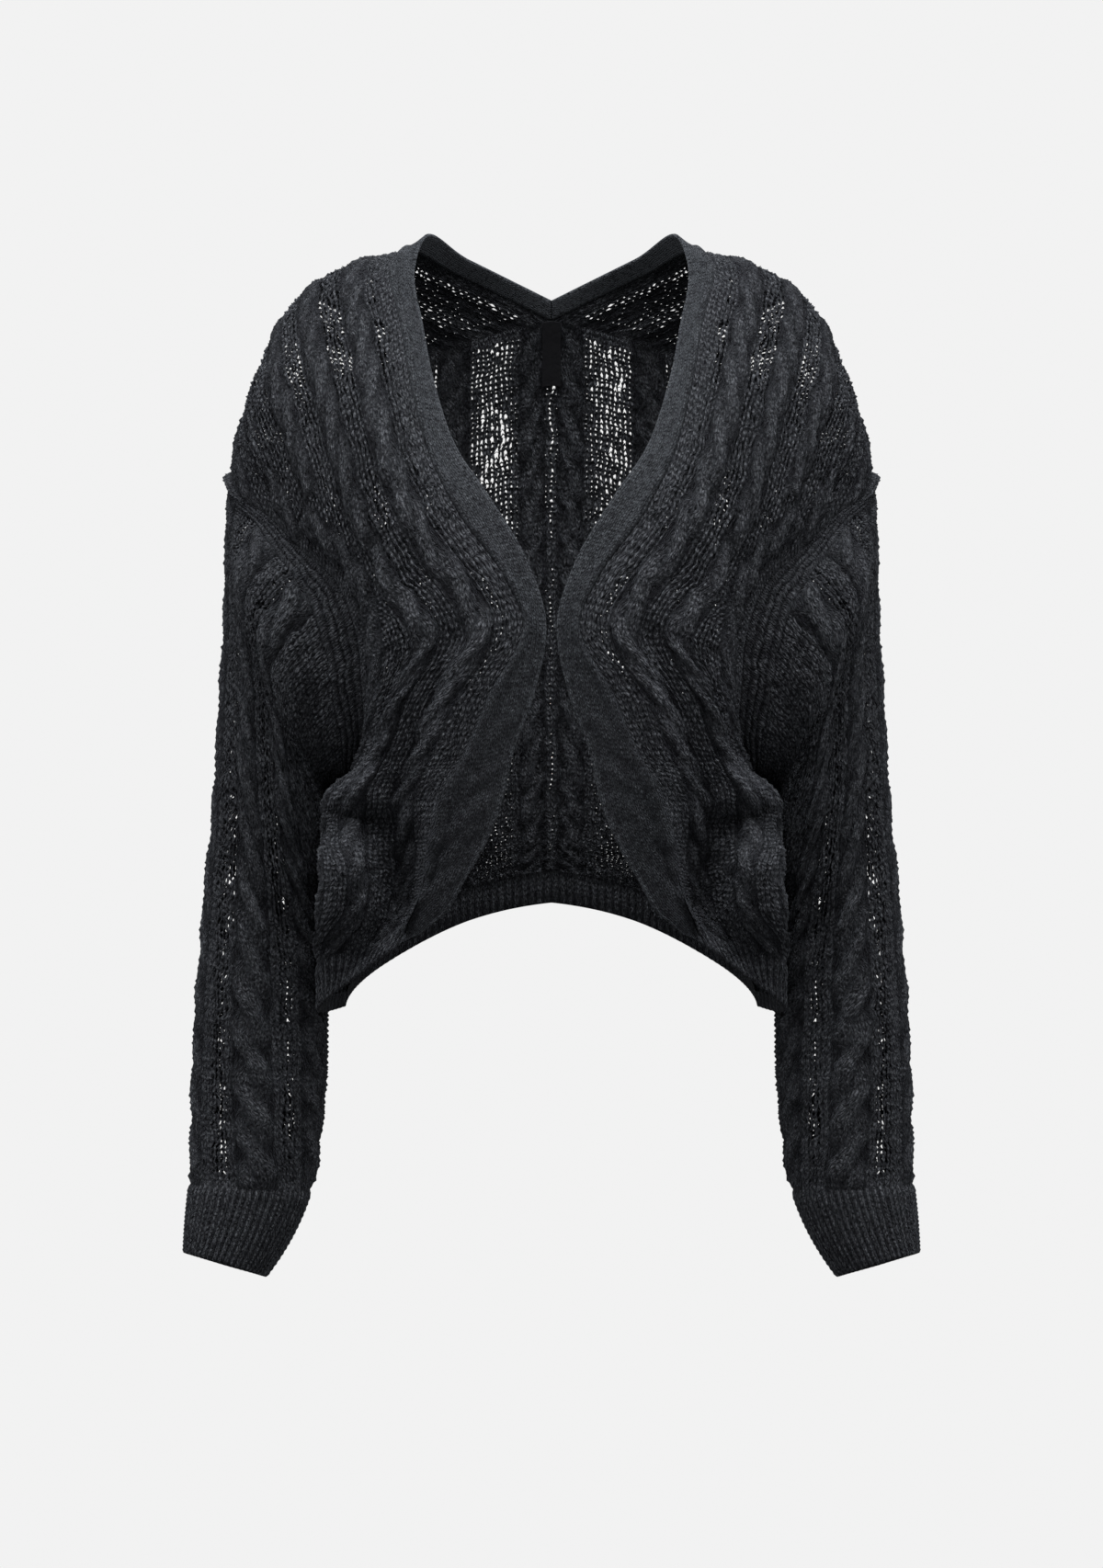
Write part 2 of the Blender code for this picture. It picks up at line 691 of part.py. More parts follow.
def main():
    """Build every piece of the cardigan."""
    for old in list(bpy.data.objects):
        bpy.data.objects.remove(old, do_unlink=True)
    front, band = front_walls()
    back = back_wall()
    loop = armhole_loop(front, back)
    sleeve = sleeve_wall(loop)
    share_seam(front, np.s_[0], back, np.s_[0])
    share_seam(front, np.s_[SHOULDER_ROWS:, -1], back, np.s_[BACK_ROWS:, -1])
    shared = share_armhole(front, back, sleeve, loop)
    share_seam(front, np.s_[:, 0], band, np.s_[:, -1])
    back.normals[0, 0] = front.normals[0, 0]
    build_back(back)
    build_tab(back)
    for mirror, suffix in ((False, "left"), (True, "right")):
        build_front(front, band, mirror, suffix)
        build_sleeve(sleeve, loop, shared, mirror, suffix)


main()
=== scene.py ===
"""Looks of the cable knit cardigan: openwork knit shells, ribs, bands, yarn and soft studio light.

Metres, +Z up. The front faces -Y and the wearer's left is +X. Every knitted shell repeats the sections of
its CAD solid, with the stitches, cables and gaps that a step away shows.
"""

from collections import namedtuple
import math

import bmesh
import bpy
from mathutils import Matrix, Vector
import numpy as np


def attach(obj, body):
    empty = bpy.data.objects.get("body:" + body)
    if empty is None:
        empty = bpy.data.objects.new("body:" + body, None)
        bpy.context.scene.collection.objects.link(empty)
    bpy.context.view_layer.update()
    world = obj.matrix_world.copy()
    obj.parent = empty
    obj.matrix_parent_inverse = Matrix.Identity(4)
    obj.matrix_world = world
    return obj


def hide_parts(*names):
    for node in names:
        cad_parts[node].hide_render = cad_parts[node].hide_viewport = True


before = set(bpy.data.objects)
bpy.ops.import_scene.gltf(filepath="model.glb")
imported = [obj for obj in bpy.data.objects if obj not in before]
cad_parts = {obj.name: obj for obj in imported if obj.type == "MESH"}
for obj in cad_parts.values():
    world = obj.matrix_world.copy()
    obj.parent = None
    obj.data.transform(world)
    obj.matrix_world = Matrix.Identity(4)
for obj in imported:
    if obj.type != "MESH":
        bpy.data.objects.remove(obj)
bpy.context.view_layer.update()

# Units, least length, reach of a weld, steps that measure a curve, and cells of the noise
MILLIMETRE = 0.001
TINY = 1e-12
WELD = 0.00001
CURVE_STEPS = 40
NOISE_CELLS = 64

# Knit sizes in metres: a wale is one column of stitches and a course is one row of them
CLOTH = 0.0022
WALE = 0.0034
SLEEVE_WALE = 0.0036
COURSE = 0.0036
LEG_HEIGHT = 0.0015
CABLE_HEIGHT = 0.0036
SET_BACK = 0.0008

# Legs of a stitch: slope in courses to a wale, rows over which it sets in, and relief between two wales and
# between two courses, as parts of its highest
SLANT = 1.5
ZIGZAG_START = 3
WALE_GROOVE = 0.3
COURSE_GROOVE = 0.2

# Stray stitches: how far, at a coarse and a fine pitch, the fine one's share, and the calm along a panel's
# sides in metres and at its ends in rows
LOOSENESS = 0.0013
STRAY_PITCH = 0.0075
FINE_PITCH = 0.0036
FINE_SHARE = 0.5
CALM_SIDE = 0.008
CALM_END = 6

# Uneven height: each corner's wander, swells of two sizes, the range of the legs, and the calm at seams
WANDER = 0.0005
SWELL_HEIGHT = 0.0005
SWELL_PITCH = 0.021
SMALL_SWELL = 0.6
SMALL_SWELL_PITCH = 0.009
LEG_RANGE = (0.35, 1.3)
CALM_SEAM = 0.004

# Gaps: the openness that makes one, its largest share of the ring round it, its drift off the middle, the
# depth of its rim and the painted shade on it, and the wales and courses along a panel's edges that have
# none
GAP_LEAST = 0.12
GAP_LARGEST = 0.93
GAP_DRIFT = 0.2
RIM_DROP = 0.0008
RIM_SHADE = 0.15
SOLID_WALES = 1.2
SOLID_COURSES = 1.5

# How gaps vary: slow change, its pitch and its stretch down the knit, and the range of each gap's own size
GAP_CHANGE = 0.45
GAP_CHANGE_PITCH = 0.009
GAP_CHANGE_STRETCH = 2.2
GAP_RANGE = (0.2, 1.4)

# Painted shade in the deepest grooves and between legs on a cable, and how much lower a cable's legs stand
DEEP_GROOVE_SHADE = 0.08
CABLE_GROOVE_SHADE = 0.45
CABLE_LEG_LOSS = 0.3

# Cables: length between crossings, their strands' swing and half width as parts of the width and level and
# rise as parts of the height, and the flat knit beside them
CROSSING = 0.028
STRAND_SWING = 0.22
STRAND_HALF_WIDTH = 0.3
STRAND_LEVEL = 0.62
STRAND_RISE = 0.38
CABLE_MARGIN = 0.001

# Cables, each at the middle of its width across the knit, and the row where the armhole's own starts
Cable = namedtuple("Cable", "middle width")
FRONT_CABLES = [Cable(0.029 + 0.036 * k, 0.018) for k in range(6)]
SIDE_CABLE = Cable(0.023, 0.02)
SIDE_CABLE_ROW = 15
BACK_CABLES = [Cable(0.013, 0.016)] + [Cable(0.068 + 0.038 * k, 0.022) for k in range(5)]
SLEEVE_CABLES = [Cable(0.018, 0.024), Cable(0.073, 0.026), Cable(0.122, 0.026)]

# Values that change with the courses down a piece: how open the front and the back are, how high the front's
# cables stand on the shoulder, and how far they close the gaps under them
Fade = namedtuple("Fade", "courses values")
FRONT_OPEN = Fade((0, 20, 36, 56, 80, 110, 150), (0.3, 0.38, 0.76, 0.74, 0.62, 0.32, 0.12))
BACK_OPEN = Fade((0, 20, 34, 50, 80, 120), (0.54, 0.54, 0.42, 0.34, 0.24, 0.12))
FRONT_CABLE_RISE = Fade((14, 20, 34, 46), (0.25, 0.55, 0.65, 1))
FRONT_CABLE_COVER = Fade((0, 14, 22), (0.5, 0.55, 1))

# Wider lace on the front: where it starts and ends across, at which courses, and how much more open it is
Lace = namedtuple("Lace", "first last courses more")
FRONT_LACE = [
    Lace(0.077, 0.1, (3, 9, 44, 54), 0.62),
    Lace(0.108, 0.147, (3, 9, 46, 56), 0.7),
    Lace(0.037, 0.058, (14, 24, 38, 48), 0.4),
    Lace(0.037, 0.058, (72, 77, 84, 89), 0.4),
    Lace(0.01, 0.022, (80, 87, 98, 104), 0.7),
    Lace(0.073, 0.094, (88, 94, 104, 110), 0.6),
]

# Lace that thins one cable of the front, and where the front's lace starts beside the band
THINNED_CABLE = Lace(0.127, 0.147, (20, 26, 46, 52), 0.7)
FRONT_LACE_START = 0.0105
SOFT_EDGE = 0.001
FAR_OUT = 0.3

# Lace of the back: a wide strip, a ladder down the middle, and a calmer part that starts further out
BACK_LACE = 0.041
BACK_LACE_HALF_WIDTH = 0.0165
LADDER_HALF_WIDTH = 0.0035
LADDER_OPEN = 0.72
BACK_SIDE = 0.062
BACK_SIDE_OPEN = 0.62

# Lace of the sleeve: two strips with their places, strength and half widths, and what is left of them behind
LACE_COURSES = (0, 8, 24, 32, 52, 62, 80, 92, 104)
FIRST_LACE = 0.048
FIRST_HALF_WIDTH = Fade(LACE_COURSES, (0.006, 0.007, 0.009, 0.014, 0.014, 0.008, 0.005, 0.006, 0.005))
SECOND_LACE = Fade((24, 44), (0.103, 0.097))
SECOND_STRENGTH = Fade(LACE_COURSES, (0.5, 0.6, 0.9, 0.9, 0.7, 0.62, 0.4, 0.7, 0.3))
SECOND_HALF_WIDTH = 0.002
SECOND_GROWTH = 0.005
BEHIND_PLACES = (0.06, 0.08)
BEHIND_OPEN = (1, 0.62)
SLEEVE_OPEN = 0.1

# Plain ridges round the sleeve's head and a bump at its top, with heights as parts of a cable's
PLAIN_COURSES = 6
RIDGE_HEIGHT = 0.8
RIDGE_COURSES = 1.5
BUMP_HEIGHT = 0.9
BUMP_HALF_WIDTH = 0.03
BUMP_COURSE = 2
BUMP_HALF_COURSES = 1.8

# Ribs: height, points to a rib, rows over which they grow and turn in, painted shade in their grooves,
# painted light on their crests and painted shade inside, how much wider they lie flat, and how many each
# piece has
RIB_HEIGHT = 0.0014
RIB_COURSE_HEIGHT = 0.00025
RIB_SET_BACK = 0.001
RIB_STEPS = 6
RIB_GROWTH_ROWS = 3
RIB_INSIDE_ROWS = 5
RIB_ROW = 0.001
RIB_GROOVE_SHADE = 0.15
RIB_CREST_LIGHT = 0.62
RIB_INSIDE_SHADE = 0.5
BACK_RIBS = 78
FRONT_RIBS = 26
CUFF_RIBS = 56

# Band: stitch, roll, points across its outside and inside, degrees round its edge, and its thinnest share
BAND_STITCH = 0.0028
BAND_ROLL = 0.0014
BAND_OUTSIDE = 13
BAND_INSIDE = 7
BAND_TURN = (60, 30, 0, -30, -60)
BAND_TURN_START = 1.6
BAND_TURN_WIDTH = 0.006
BAND_THINNEST = 0.55
BAND_UNEVEN = 0.00035
BAND_UNEVEN_PITCH = 0.006
NEXT_TO_EDGE = 0.05

# Ridge beside the band's seam, with its place and half width as parts of the band's width
SEAM_RIDGE = 0.0022
SEAM_PLACE = 0.86
SEAM_HALF_WIDTH = 0.07

# Tones of the band: its outside's own tone, a painted highlight on its edge and painted light on its inside,
# and the rows over which painted shade darkens them
BAND_TONE = 0.8
BAND_EDGE_HIGHLIGHT = 1.7
BAND_INSIDE_LIGHT = 2.4
BAND_SHADE_ROWS = (150, 215)
BAND_SHADE = (1, 0.55)

# Start of each piece's random numbers
FRONT_SEED = 11
BACK_SEED = 31
SLEEVE_SEED = 47
BAND_SEED = 61

# Yarn: darkest and lightest colour, and depth of its relief in metres
Yarn = namedtuple("Yarn", "dark light depth")
KNIT_YARN = Yarn((0.002, 0.002, 0.003, 1), (0.083, 0.088, 0.098, 1), 0.0014)
# The band's yarn is the same yarn painted darker, as painted shade, with shallower bumps
SHADED_BAND_YARN = Yarn((0.003, 0.003, 0.004, 1), (0.055, 0.060, 0.067, 1), 0.0011)
TAPE = Yarn((0.006, 0.006, 0.007, 1), (0.024, 0.024, 0.026, 1), 0.0003)
YARN_FINISH = {"Roughness": 0.95, "Specular IOR Level": 0.1, "Sheen Weight": 0.08, "Sheen Roughness": 0.5,
               "Sheen Tint": (0.55, 0.6, 0.7, 1.0)}

# Unevenness of the yarn: how fine, how detailed and how strong
Noise = namedtuple("Noise", "scale detail gain")
WAVER = Noise(150, 1, 0.9)
FIBRE = Noise(1100, 3, 2.4)
SPECK = Noise(480, 2, 4.4)
BLOTCH = Noise(190, 2, 2.2)

# Shape of a leg in the yarn's relief, how strongly legs, fibres and specks stand out, and the legs' tone
# over the painted shade in the grooves between them
LEG_POWER = 0.6
LEG_POWER_ACROSS = 0.7
LEG_RELIEF = 0.8
FIBRE_RELIEF = 0.5
SPECK_RELIEF = 0.7
LEG_SHADE_RANGE = 0.85
GROOVE_SHADE = 0.15
LEAST_TONE = 0.1

# Camera, which frames the garment as the photo does, in metres, and its sensor in millimetres
SENSOR_HEIGHT = 36
CAMERA_DISTANCE = 4.0
CAMERA_UP = -0.356
FRAME_HEIGHT = 1.0236

# Backdrop, floor and soft square lamps, which aim at the garment's middle
PALE = 0.887
AMBIENT = 0.26
FLOOR_SIZE = 40
FLOOR_UP = -1.3
FLOOR_FINISH = {"Base Color": (0, 0, 0, 1), "Specular IOR Level": 0, "Emission Color": (PALE, PALE, PALE, 1),
                "Emission Strength": 1}
LIGHT_AIM = (0, 0, -0.3)
Lamp = namedtuple("Lamp", "name place size power")
LAMPS = [
    Lamp("key", (0, -0.8, 1.35), 1.0, 42),
    Lamp("front", (0, -1.3, 0.3), 0.8, 4),
    Lamp("left", (-1.8, -0.8, 0.7), 1.2, 19),
    Lamp("right", (1.8, -0.8, 0.7), 1.2, 19),
    Lamp("behind", (0, 2.2, 1.0), 1.4, 26),
]

# Rows of the CAD, courses between two of them, and half courses, which are the rows of a surface
ROW_COURSES = 4
ROW_STEPS = ROW_COURSES * 2
SHOULDER_ROWS = 31
BACK_ROWS = 22
SIDE_ROWS = 8
SLEEVE_ROWS = 26
HEM_COURSES = 6
CUFF_COURSES = 16
FRONT_HEM_START = (SHOULDER_ROWS + SIDE_ROWS) * ROW_STEPS
BACK_HEM_START = (BACK_ROWS + SIDE_ROWS) * ROW_STEPS
CUFF_START = SLEEVE_ROWS * ROW_STEPS

# Points across a panel, round the sleeve, and along each row of a surface
ACROSS = 61
AROUND = 120
SPREAD = 201

# Roundness of the sleeve, and how creases fade where the cloth turns away from the side they are seen from
FULLNESS = 2.2
CREASE_GAIN = 1.6
CREASE_LOSS = 0.2

# The sections give points in millimetres: out from the middle plane, back, and up.
# Front and band, from the seam on the upper back, over the shoulder and down to the hem.
Front = namedtuple("Front", "name edge seam near far side")
FRONT = [
    Front("back seam", (0, 74, -36), (0, 80, -47), (66, 90, -65), (138, 76, -100), (202, 32, -170)),
    Front("behind ridge", (55, 58, -10), (62, 66, -18), (115, 62, -36), (174, 44, -84), (206, 16, -158)),
    Front("ridge", (84, 4, 0), (96, 6, -8), (167, 8, -38.5), (194, 4, -94), (209, 0, -152)),
    Front("collar", (90, -14, -20), (105, -26, -22), (148, -34, -52), (187, -30, -98), (204, -22, -167)),
    Front("collarbone", (84, -44, -61), (97, -58, -60), (135, -66, -86), (168, -62, -130), (182, -45, -184)),
    Front("breast", (76, -72, -100), (90, -80, -100), (120, -90, -122), (146, -86, -158), (160, -62, -206)),
    Front("chest", (61, -92, -143), (77, -98, -148), (100, -107, -166), (122, -103, -190), (137, -76, -228)),
    Front("neck", (41, -106, -173), (58, -112, -185), (82, -119, -205), (107, -112, -228), (127, -83, -252)),
    Front("above", (15, -117, -218), (29, -122, -226), (64, -127, -235), (99, -117, -250), (123, -83, -270)),
    Front("meets", (5, -121, -250), (18, -125, -253), (55, -129, -258), (94, -119, -268), (122, -82, -288)),
    Front("low", (13, -123, -302), (40, -127, -300), (70, -128, -301), (100, -114, -306), (120, -68, -322)),
    Front("waist", (25, -123, -335), (56, -125, -337), (82, -118, -338), (112, -97, -338), (124, -38, -350)),
    Front("armpit", (32, -121, -366), (71, -121, -364), (94, -104, -364), (138, -81, -371), (126, 6, -362)),
    Front("hollow", (42, -118, -392), (77, -116, -388), (99, -88, -388), (134, -81, -387), (126, 2, -386)),
    Front("fold", (58, -112, -420), (80, -109, -410), (101, -79, -412), (134, -101, -409), (128, -4, -414)),
    Front("roll", (67, -107, -436), (84, -105, -427), (103, -76, -436), (137, -100, -438), (130, -6, -444)),
    Front("hem", (77, -102, -445), (91, -100, -443), (112, -80, -457), (142, -76, -467), (132, -6, -472)),
    Front("edge", (84, -98, -452), (98, -95, -459), (120, -84, -475), (148, -62, -497), (135, -6, -500)),
]

# Back, from its slanting shoulder seams down to the hem. Below the underarm its side is the front's side.
Back = namedtuple("Back", "name middle near far side")
BACK = [
    Back("shoulder seam", (0, 80, -47), (66, 90, -65), (138, 76, -100), (202, 32, -170)),
    Back("shoulder blade", (0, 92, -92), (58, 97, -104), (120, 88, -138), (184, 50, -190)),
    Back("below blade", (0, 99, -145), (52, 102, -156), (105, 95, -182), (157, 68, -216)),
    Back("middle", (0, 102, -205), (48, 104, -213), (96, 97, -232), (134, 79, -256)),
    Back("low middle", (0, 100, -265), (46, 101, -271), (91, 94, -284), (124, 66, -306)),
    Back("above underarm", (0, 95, -320), (46, 96, -326), (94, 86, -337), (123, 34, -348)),
    Back("underarm", (0, 91, -352), (48, 92, -358), (102, 80, -366), (126, 6, -362)),
    Back("first hollow", (0, 89, -374), (50, 90, -381), (108, 76, -389), (126, 2, -386)),
    Back("fold", (0, 87, -394), (52, 88, -402), (112, 72, -414), (128, -4, -414)),
    Back("low fold", (0, 85, -405), (52, 87, -414), (112, 70, -434), (130, -6, -444)),
    Back("hem seam", (0, 84, -414), (52, 86, -425), (110, 68, -452), (132, -6, -472)),
    Back("hem edge", (0, 83, -434), (52, 85, -445), (110, 66, -474), (135, -6, -500)),
]

# Sleeve rings below the armhole: outermost and innermost points (out, up), half depth, middle (back),
# and the lift of the front above the middle.
Ring = namedtuple("Ring", "name outer inner half_depth back lift")
SLEEVE = [
    Ring("sleeve head", (210, -190), (146, -362), 78, 6, 0),
    Ring("upper arm", (211.5, -240), (142, -388), 73, 10, 0),
    Ring("above elbow", (215, -300), (142, -416), 68, 13, 0),
    Ring("elbow", (219, -360), (146, -438), 62, 17, 0),
    Ring("below elbow", (225.5, -425), (146, -470), 58, 20, 0),
    Ring("forearm", (231, -490), (147, -508), 55, 18, 0),
    Ring("low forearm", (233.5, -545), (148, -552), 52, 13, 0),
    Ring("wrist", (234, -590), (153, -594), 48, 7, 0),
    Ring("cuff seam", (235.5, -617), (158, -621), 44, 3, 1),
    Ring("cuff middle", (237.5, -640), (170, -650), 41, -1, 3),
    Ring("cuff edge", (238.5, -661), (187, -676), 38, -4, 4),
]

# Sections, counted from 0, at the underarms, hems, cuff and shoulder ridge, and rings below the cuff's seam
FRONT_UNDERARM = 12
FRONT_HEM = 16
BACK_UNDERARM = 6
BACK_HEM = 10
CUFF_SEAM = 9
CUFF_RINGS = 2
SHOULDER_RIDGE = 2

# Creases: from one point (out, up) to another, as seen from the front or from the back, in
# millimetres, with their half width and their height, which is below 0 in a trough
FRONT_CREASES = [
    ((124, -406), (117, -432), 19, 11),
    ((152, -372), (104, -383), 5.5, -10),
    ((146, -353), (108, -368), 9, 7),
    ((92, -396), (92, -448), 10, -12),
    ((138, -462), (112, -470), 6, -4),
    ((124, -383), (143, -408), 3.5, 2.4),
    ((124, -384), (134, -412), 3, 2.2),
    ((123, -384), (124, -414), 3.5, 2.6),
    ((122, -384), (114, -408), 3, 2.2),
    ((119, -383), (107, -398), 3.5, 2.0),
    ((88, -250), (118, -350), 10, 5),
    ((62, -262), (100, -372), 8, -5),
    ((48, -262), (72, -352), 9, 4),
    ((112, -205), (122, -318), 7, -5),
    ((98, -180), (104, -262), 8, 4),
    ((150, -120), (124, -215), 8, -4),
    ((66, -190), (84, -246), 6, -3),
    ((128, -95), (104, -160), 9, 3),
    ((64, -380), (78, -420), 4, -2),
    ((28, -342), (64, -366), 2.4, 1.4),
    ((40, -366), (73, -393), 4, 2.0),
    ((50, -384), (77, -411), 2.6, 1.4),
    ((58, -411), (82, -429), 2.5, 1.3),
    ((22, -312), (50, -340), 3.4, 1.3),
]
BACK_CREASES = [
    ((150, -130), (128, -250), 9, -5),
    ((120, -160), (112, -300), 10, 4),
    ((96, -190), (92, -330), 8, -4),
    ((70, -230), (66, -400), 9, 3),
    ((34, -250), (40, -390), 8, -3),
    ((108, -330), (116, -420), 12, 6),
    ((88, -350), (90, -440), 8, -5),
    ((126, -372), (96, -384), 5, -4),
]
SLEEVE_CREASES = [
    ((170, -225), (168, -330), 12, 3),
    ((187, -235), (186, -335), 7, -2.5),
    ((152, -300), (162, -400), 8, -4),
    ((206, -300), (204, -390), 8, 2.5),
    ((172, -360), (178, -440), 8, 3),
    ((204, -410), (168, -452), 8, -3.5),
    ((214, -420), (196, -520), 9, 4),
    ((178, -440), (172, -540), 8, -4),
    ((158, -470), (162, -560), 7, 3),
    ((218, -520), (200, -600), 7, -4),
    ((190, -540), (184, -606), 7, 3),
]

# A surface in rows: points, outward directions and lengths down at even places along each row, and where
# each row starts and ends, measured across the knit
Surface = namedtuple("Surface", "points normals down first last")

# A lattice of stitch corners and legs: points, outward directions, places across in metres and in thirds
# of a stitch, places down in stitches, and where each row starts and ends
Lattice = namedtuple("Lattice", "points normals across thirds courses first last")


def unit(vectors):
    """Scale vectors to length one."""
    return vectors / np.maximum(np.linalg.norm(vectors, axis=-1, keepdims=True), TINY)


def arc(line):
    """Give the length along a line at each of its points."""
    step = np.linalg.norm(np.diff(line, axis=0), axis=1)
    return np.concatenate([[0], np.cumsum(step)])


def curve(points, stations):
    """Read a smooth curve through points, at places counted in points from the first."""
    points = np.asarray(points, float)
    stations = np.asarray(stations, float)
    step = np.linalg.norm(np.diff(points, axis=0), axis=-1)
    while step.ndim > 1:
        step = step.mean(axis=-1)
    knots = np.concatenate([[0], np.cumsum(step)])
    slope = np.gradient(points, knots, axis=0, edge_order=2)
    shape = (len(stations),) + (1,) * (points.ndim - 1)
    first = np.clip(np.floor(stations).astype(int), 0, len(points) - 2)
    t = (stations - first).reshape(shape)
    span = step[first].reshape(shape)
    start = (1 + 2 * t) * (1 - t) ** 2 * points[first] + t * (1 - t) ** 2 * span * slope[first]
    end = t * t * (3 - 2 * t) * points[first + 1] + t * t * (t - 1) * span * slope[first + 1]
    return start + end


def cornered_curve(points, stations, corner):
    """Read a curve that has a corner at one of its points."""
    above = curve(points[:corner + 1], stations[stations <= corner])
    below = curve(points[corner:], stations[stations > corner] - corner)
    return np.concatenate([above, below])


def even_stations(points, first, last, count):
    """Space stations evenly by length along a line of points, from one point to another."""
    dense = np.linspace(first, last, CURVE_STEPS * (last - first) + 1)
    run = arc(curve(points, dense))
    return np.interp(np.linspace(0, run[-1], count + 1), run, dense)


def table(sections, column):
    """Read one column of a table of sections, in metres."""
    return np.array([getattr(section, column) for section in sections], float) * MILLIMETRE


def between(run, values, at):
    """Read points or directions at lengths along a row."""
    return np.stack([np.interp(at, run, values[:, axis]) for axis in range(3)], axis=1)


def directions(grid, outward, closed=False):
    """Give a grid of points its outward directions."""
    down = np.gradient(grid, axis=0)
    across = np.gradient(grid, axis=1)
    if closed:
        across[:, 0] = across[:, -1] = (grid[:, 1] - grid[:, -2]) / 2
    return outward * unit(np.cross(down, across))


def loft(lines):
    """Fill a grid across lines that run down a piece."""
    stations = np.linspace(0, len(lines) - 1, ACROSS)
    return np.array([curve(row, stations) for row in np.stack(lines, axis=1)])


def surface_from(grid, normals, zero):
    """Space a grid's points evenly along its rows. Places are counted from the column named zero."""
    points = []
    facing = []
    first = []
    last = []
    for row, normal in zip(grid, normals):
        run = arc(row)
        at = np.linspace(0, run[-1], SPREAD)
        points.append(between(run, row, at))
        facing.append(between(run, normal, at))
        first.append(-run[zero])
        last.append(run[-1] - run[zero])
    points = np.array(points)
    step = np.linalg.norm(np.diff(points, axis=0), axis=2)
    down = np.concatenate([np.zeros((1, SPREAD)), np.cumsum(step, axis=0)])
    return Surface(points, unit(np.array(facing)), down, np.array(first), np.array(last))


def creased(surface, creases, outward, closed=False):
    """Press the creases of one side into a surface, towards or away from where that side faces."""
    seen = surface.points[..., [0, 2]] / MILLIMETRE
    lift = np.zeros(seen.shape[:2])
    for start, end, half_width, height in creases:
        start, reach = np.array(start), np.subtract(end, start)
        share = np.clip((seen - start) @ reach / (reach @ reach), 0, 1)
        away = np.linalg.norm(seen - start - share[..., None] * reach, axis=-1)
        lift += height * np.exp(-(away / half_width) ** 2)
    faced = surface.normals[..., 1]
    side = np.sign(faced[len(faced) // 2, SPREAD // 4]) if not closed else np.sign(faced)
    turned = np.clip(np.abs(faced) * CREASE_GAIN - CREASE_LOSS, 0, 1) * (np.sign(faced) == side)
    points = surface.points.copy()
    points[..., 1] += side * turned * lift * MILLIMETRE
    return surface._replace(points=points, normals=directions(points, outward, closed))


def both_sides(creases):
    """Repeat creases on the other side of the middle plane."""
    return creases + [((-a, b), (-c, d), *rest) for (a, b), (c, d), *rest in creases]


def rows_of(surface, start, stop):
    """Take some rows of a surface."""
    return Surface(*(part[start:stop + 1] for part in surface))


def read(surface, row, share):
    """Read points, directions and lengths down at rows and shares of a row."""
    top = np.clip(np.floor(row).astype(int), 0, len(surface.points) - 2)
    left = np.clip(np.floor(share * (SPREAD - 1)).astype(int), 0, SPREAD - 2)
    down = row - top
    right = share * (SPREAD - 1) - left
    values = []
    for grid in (surface.points, surface.normals, surface.down[..., None]):
        a, b = down[..., None], right[..., None]
        upper = grid[top, left] * (1 - b) + grid[top, left + 1] * b
        lower = grid[top + 1, left] * (1 - b) + grid[top + 1, left + 1] * b
        values.append(upper * (1 - a) + lower * a)
    return values[0], unit(values[1]), values[2][..., 0]


def stray(free, across, down, coarse_seed, fine_seed):
    """Give how far stitches stray where they are free to."""
    coarse = LOOSENESS * free * smooth_noise(across, down, STRAY_PITCH, coarse_seed)
    return coarse + FINE_SHARE * LOOSENESS * free * smooth_noise(across, down, FINE_PITCH, fine_seed)


def stitches(surface, wale, seed, plain_rows):
    """Lay the corners of chevron stitches on a surface: three columns to a wale and two rows to a course.

    The rows run in a zigzag, up and out from the middle of each wale, past some plain rows at the top. Past
    the surface's ends they stay on its edges.
    """
    low = math.floor(surface.first.min() / wale) * 3
    high = math.ceil(surface.last.max() / wale) * 3
    rows = len(surface.points) - 1
    half, third = np.meshgrid(np.arange(rows + 3), np.arange(low, high + 1), indexing="ij")
    set_in = np.clip((half - plain_rows) / ZIGZAG_START, 0, 1)
    zigzag = SLANT * np.where(third % 3 == 0, 1 / 3, 0) * set_in
    row = np.clip(half - 2 * zigzag, 0, rows)
    first = np.interp(row, np.arange(rows + 1), surface.first)
    last = np.interp(row, np.arange(rows + 1), surface.last)
    across = np.clip(third / 3 * wale, first, last)
    down = row * COURSE / 2
    free = np.clip(np.minimum(across - first, last - across) / CALM_SIDE, 0, 1)
    free *= np.clip(np.minimum(row, rows - row) / CALM_END, 0, 1)
    drawn = stray(free, across, down, seed, seed + 20)
    pulled = stray(free, across, down, seed + 50, seed + 70)
    shares = (across + drawn - first) / (last - first)
    points, normals = read(surface, row + pulled * 2 / COURSE, shares)[:2]
    return Lattice(points, normals, across, third, row / 2, first, last)


def leg_relief(lattice):
    """Give the height of each stitch's two legs, from nearly 0 between wales and courses to 1, which also
    sets the painted shade between them.
    """
    half = np.arange(lattice.points.shape[0])[:, None]
    leg = np.where(lattice.thirds % 3 == 0, WALE_GROOVE, 1.0)
    return leg * np.where(half % 2 == 1, 1.0, COURSE_GROOVE)


def smooth_noise(a, b, pitch, seed):
    """Give soft noise from -1 to 1 over two lengths."""
    grid = np.random.default_rng(seed).uniform(-1, 1, (NOISE_CELLS, NOISE_CELLS))
    a, b = np.asarray(a) / pitch, np.asarray(b) / pitch
    i, k = np.floor(a).astype(int), np.floor(b).astype(int)
    u, v = a - i, b - k
    u, v = u * u * (3 - 2 * u), v * v * (3 - 2 * v)
    next_i, next_k = (i + 1) % NOISE_CELLS, (k + 1) % NOISE_CELLS
    i, k = i % NOISE_CELLS, k % NOISE_CELLS
    upper = grid[i, k] * (1 - v) + grid[i, next_k] * v
    lower = grid[next_i, k] * (1 - v) + grid[next_i, next_k] * v
    return upper * (1 - u) + lower * u


def along_cable(lattice):
    """Give the length down a cable, whose strands cross once in every two rows of the CAD."""
    return (lattice.courses / ROW_COURSES + 0.5) * CROSSING / 2


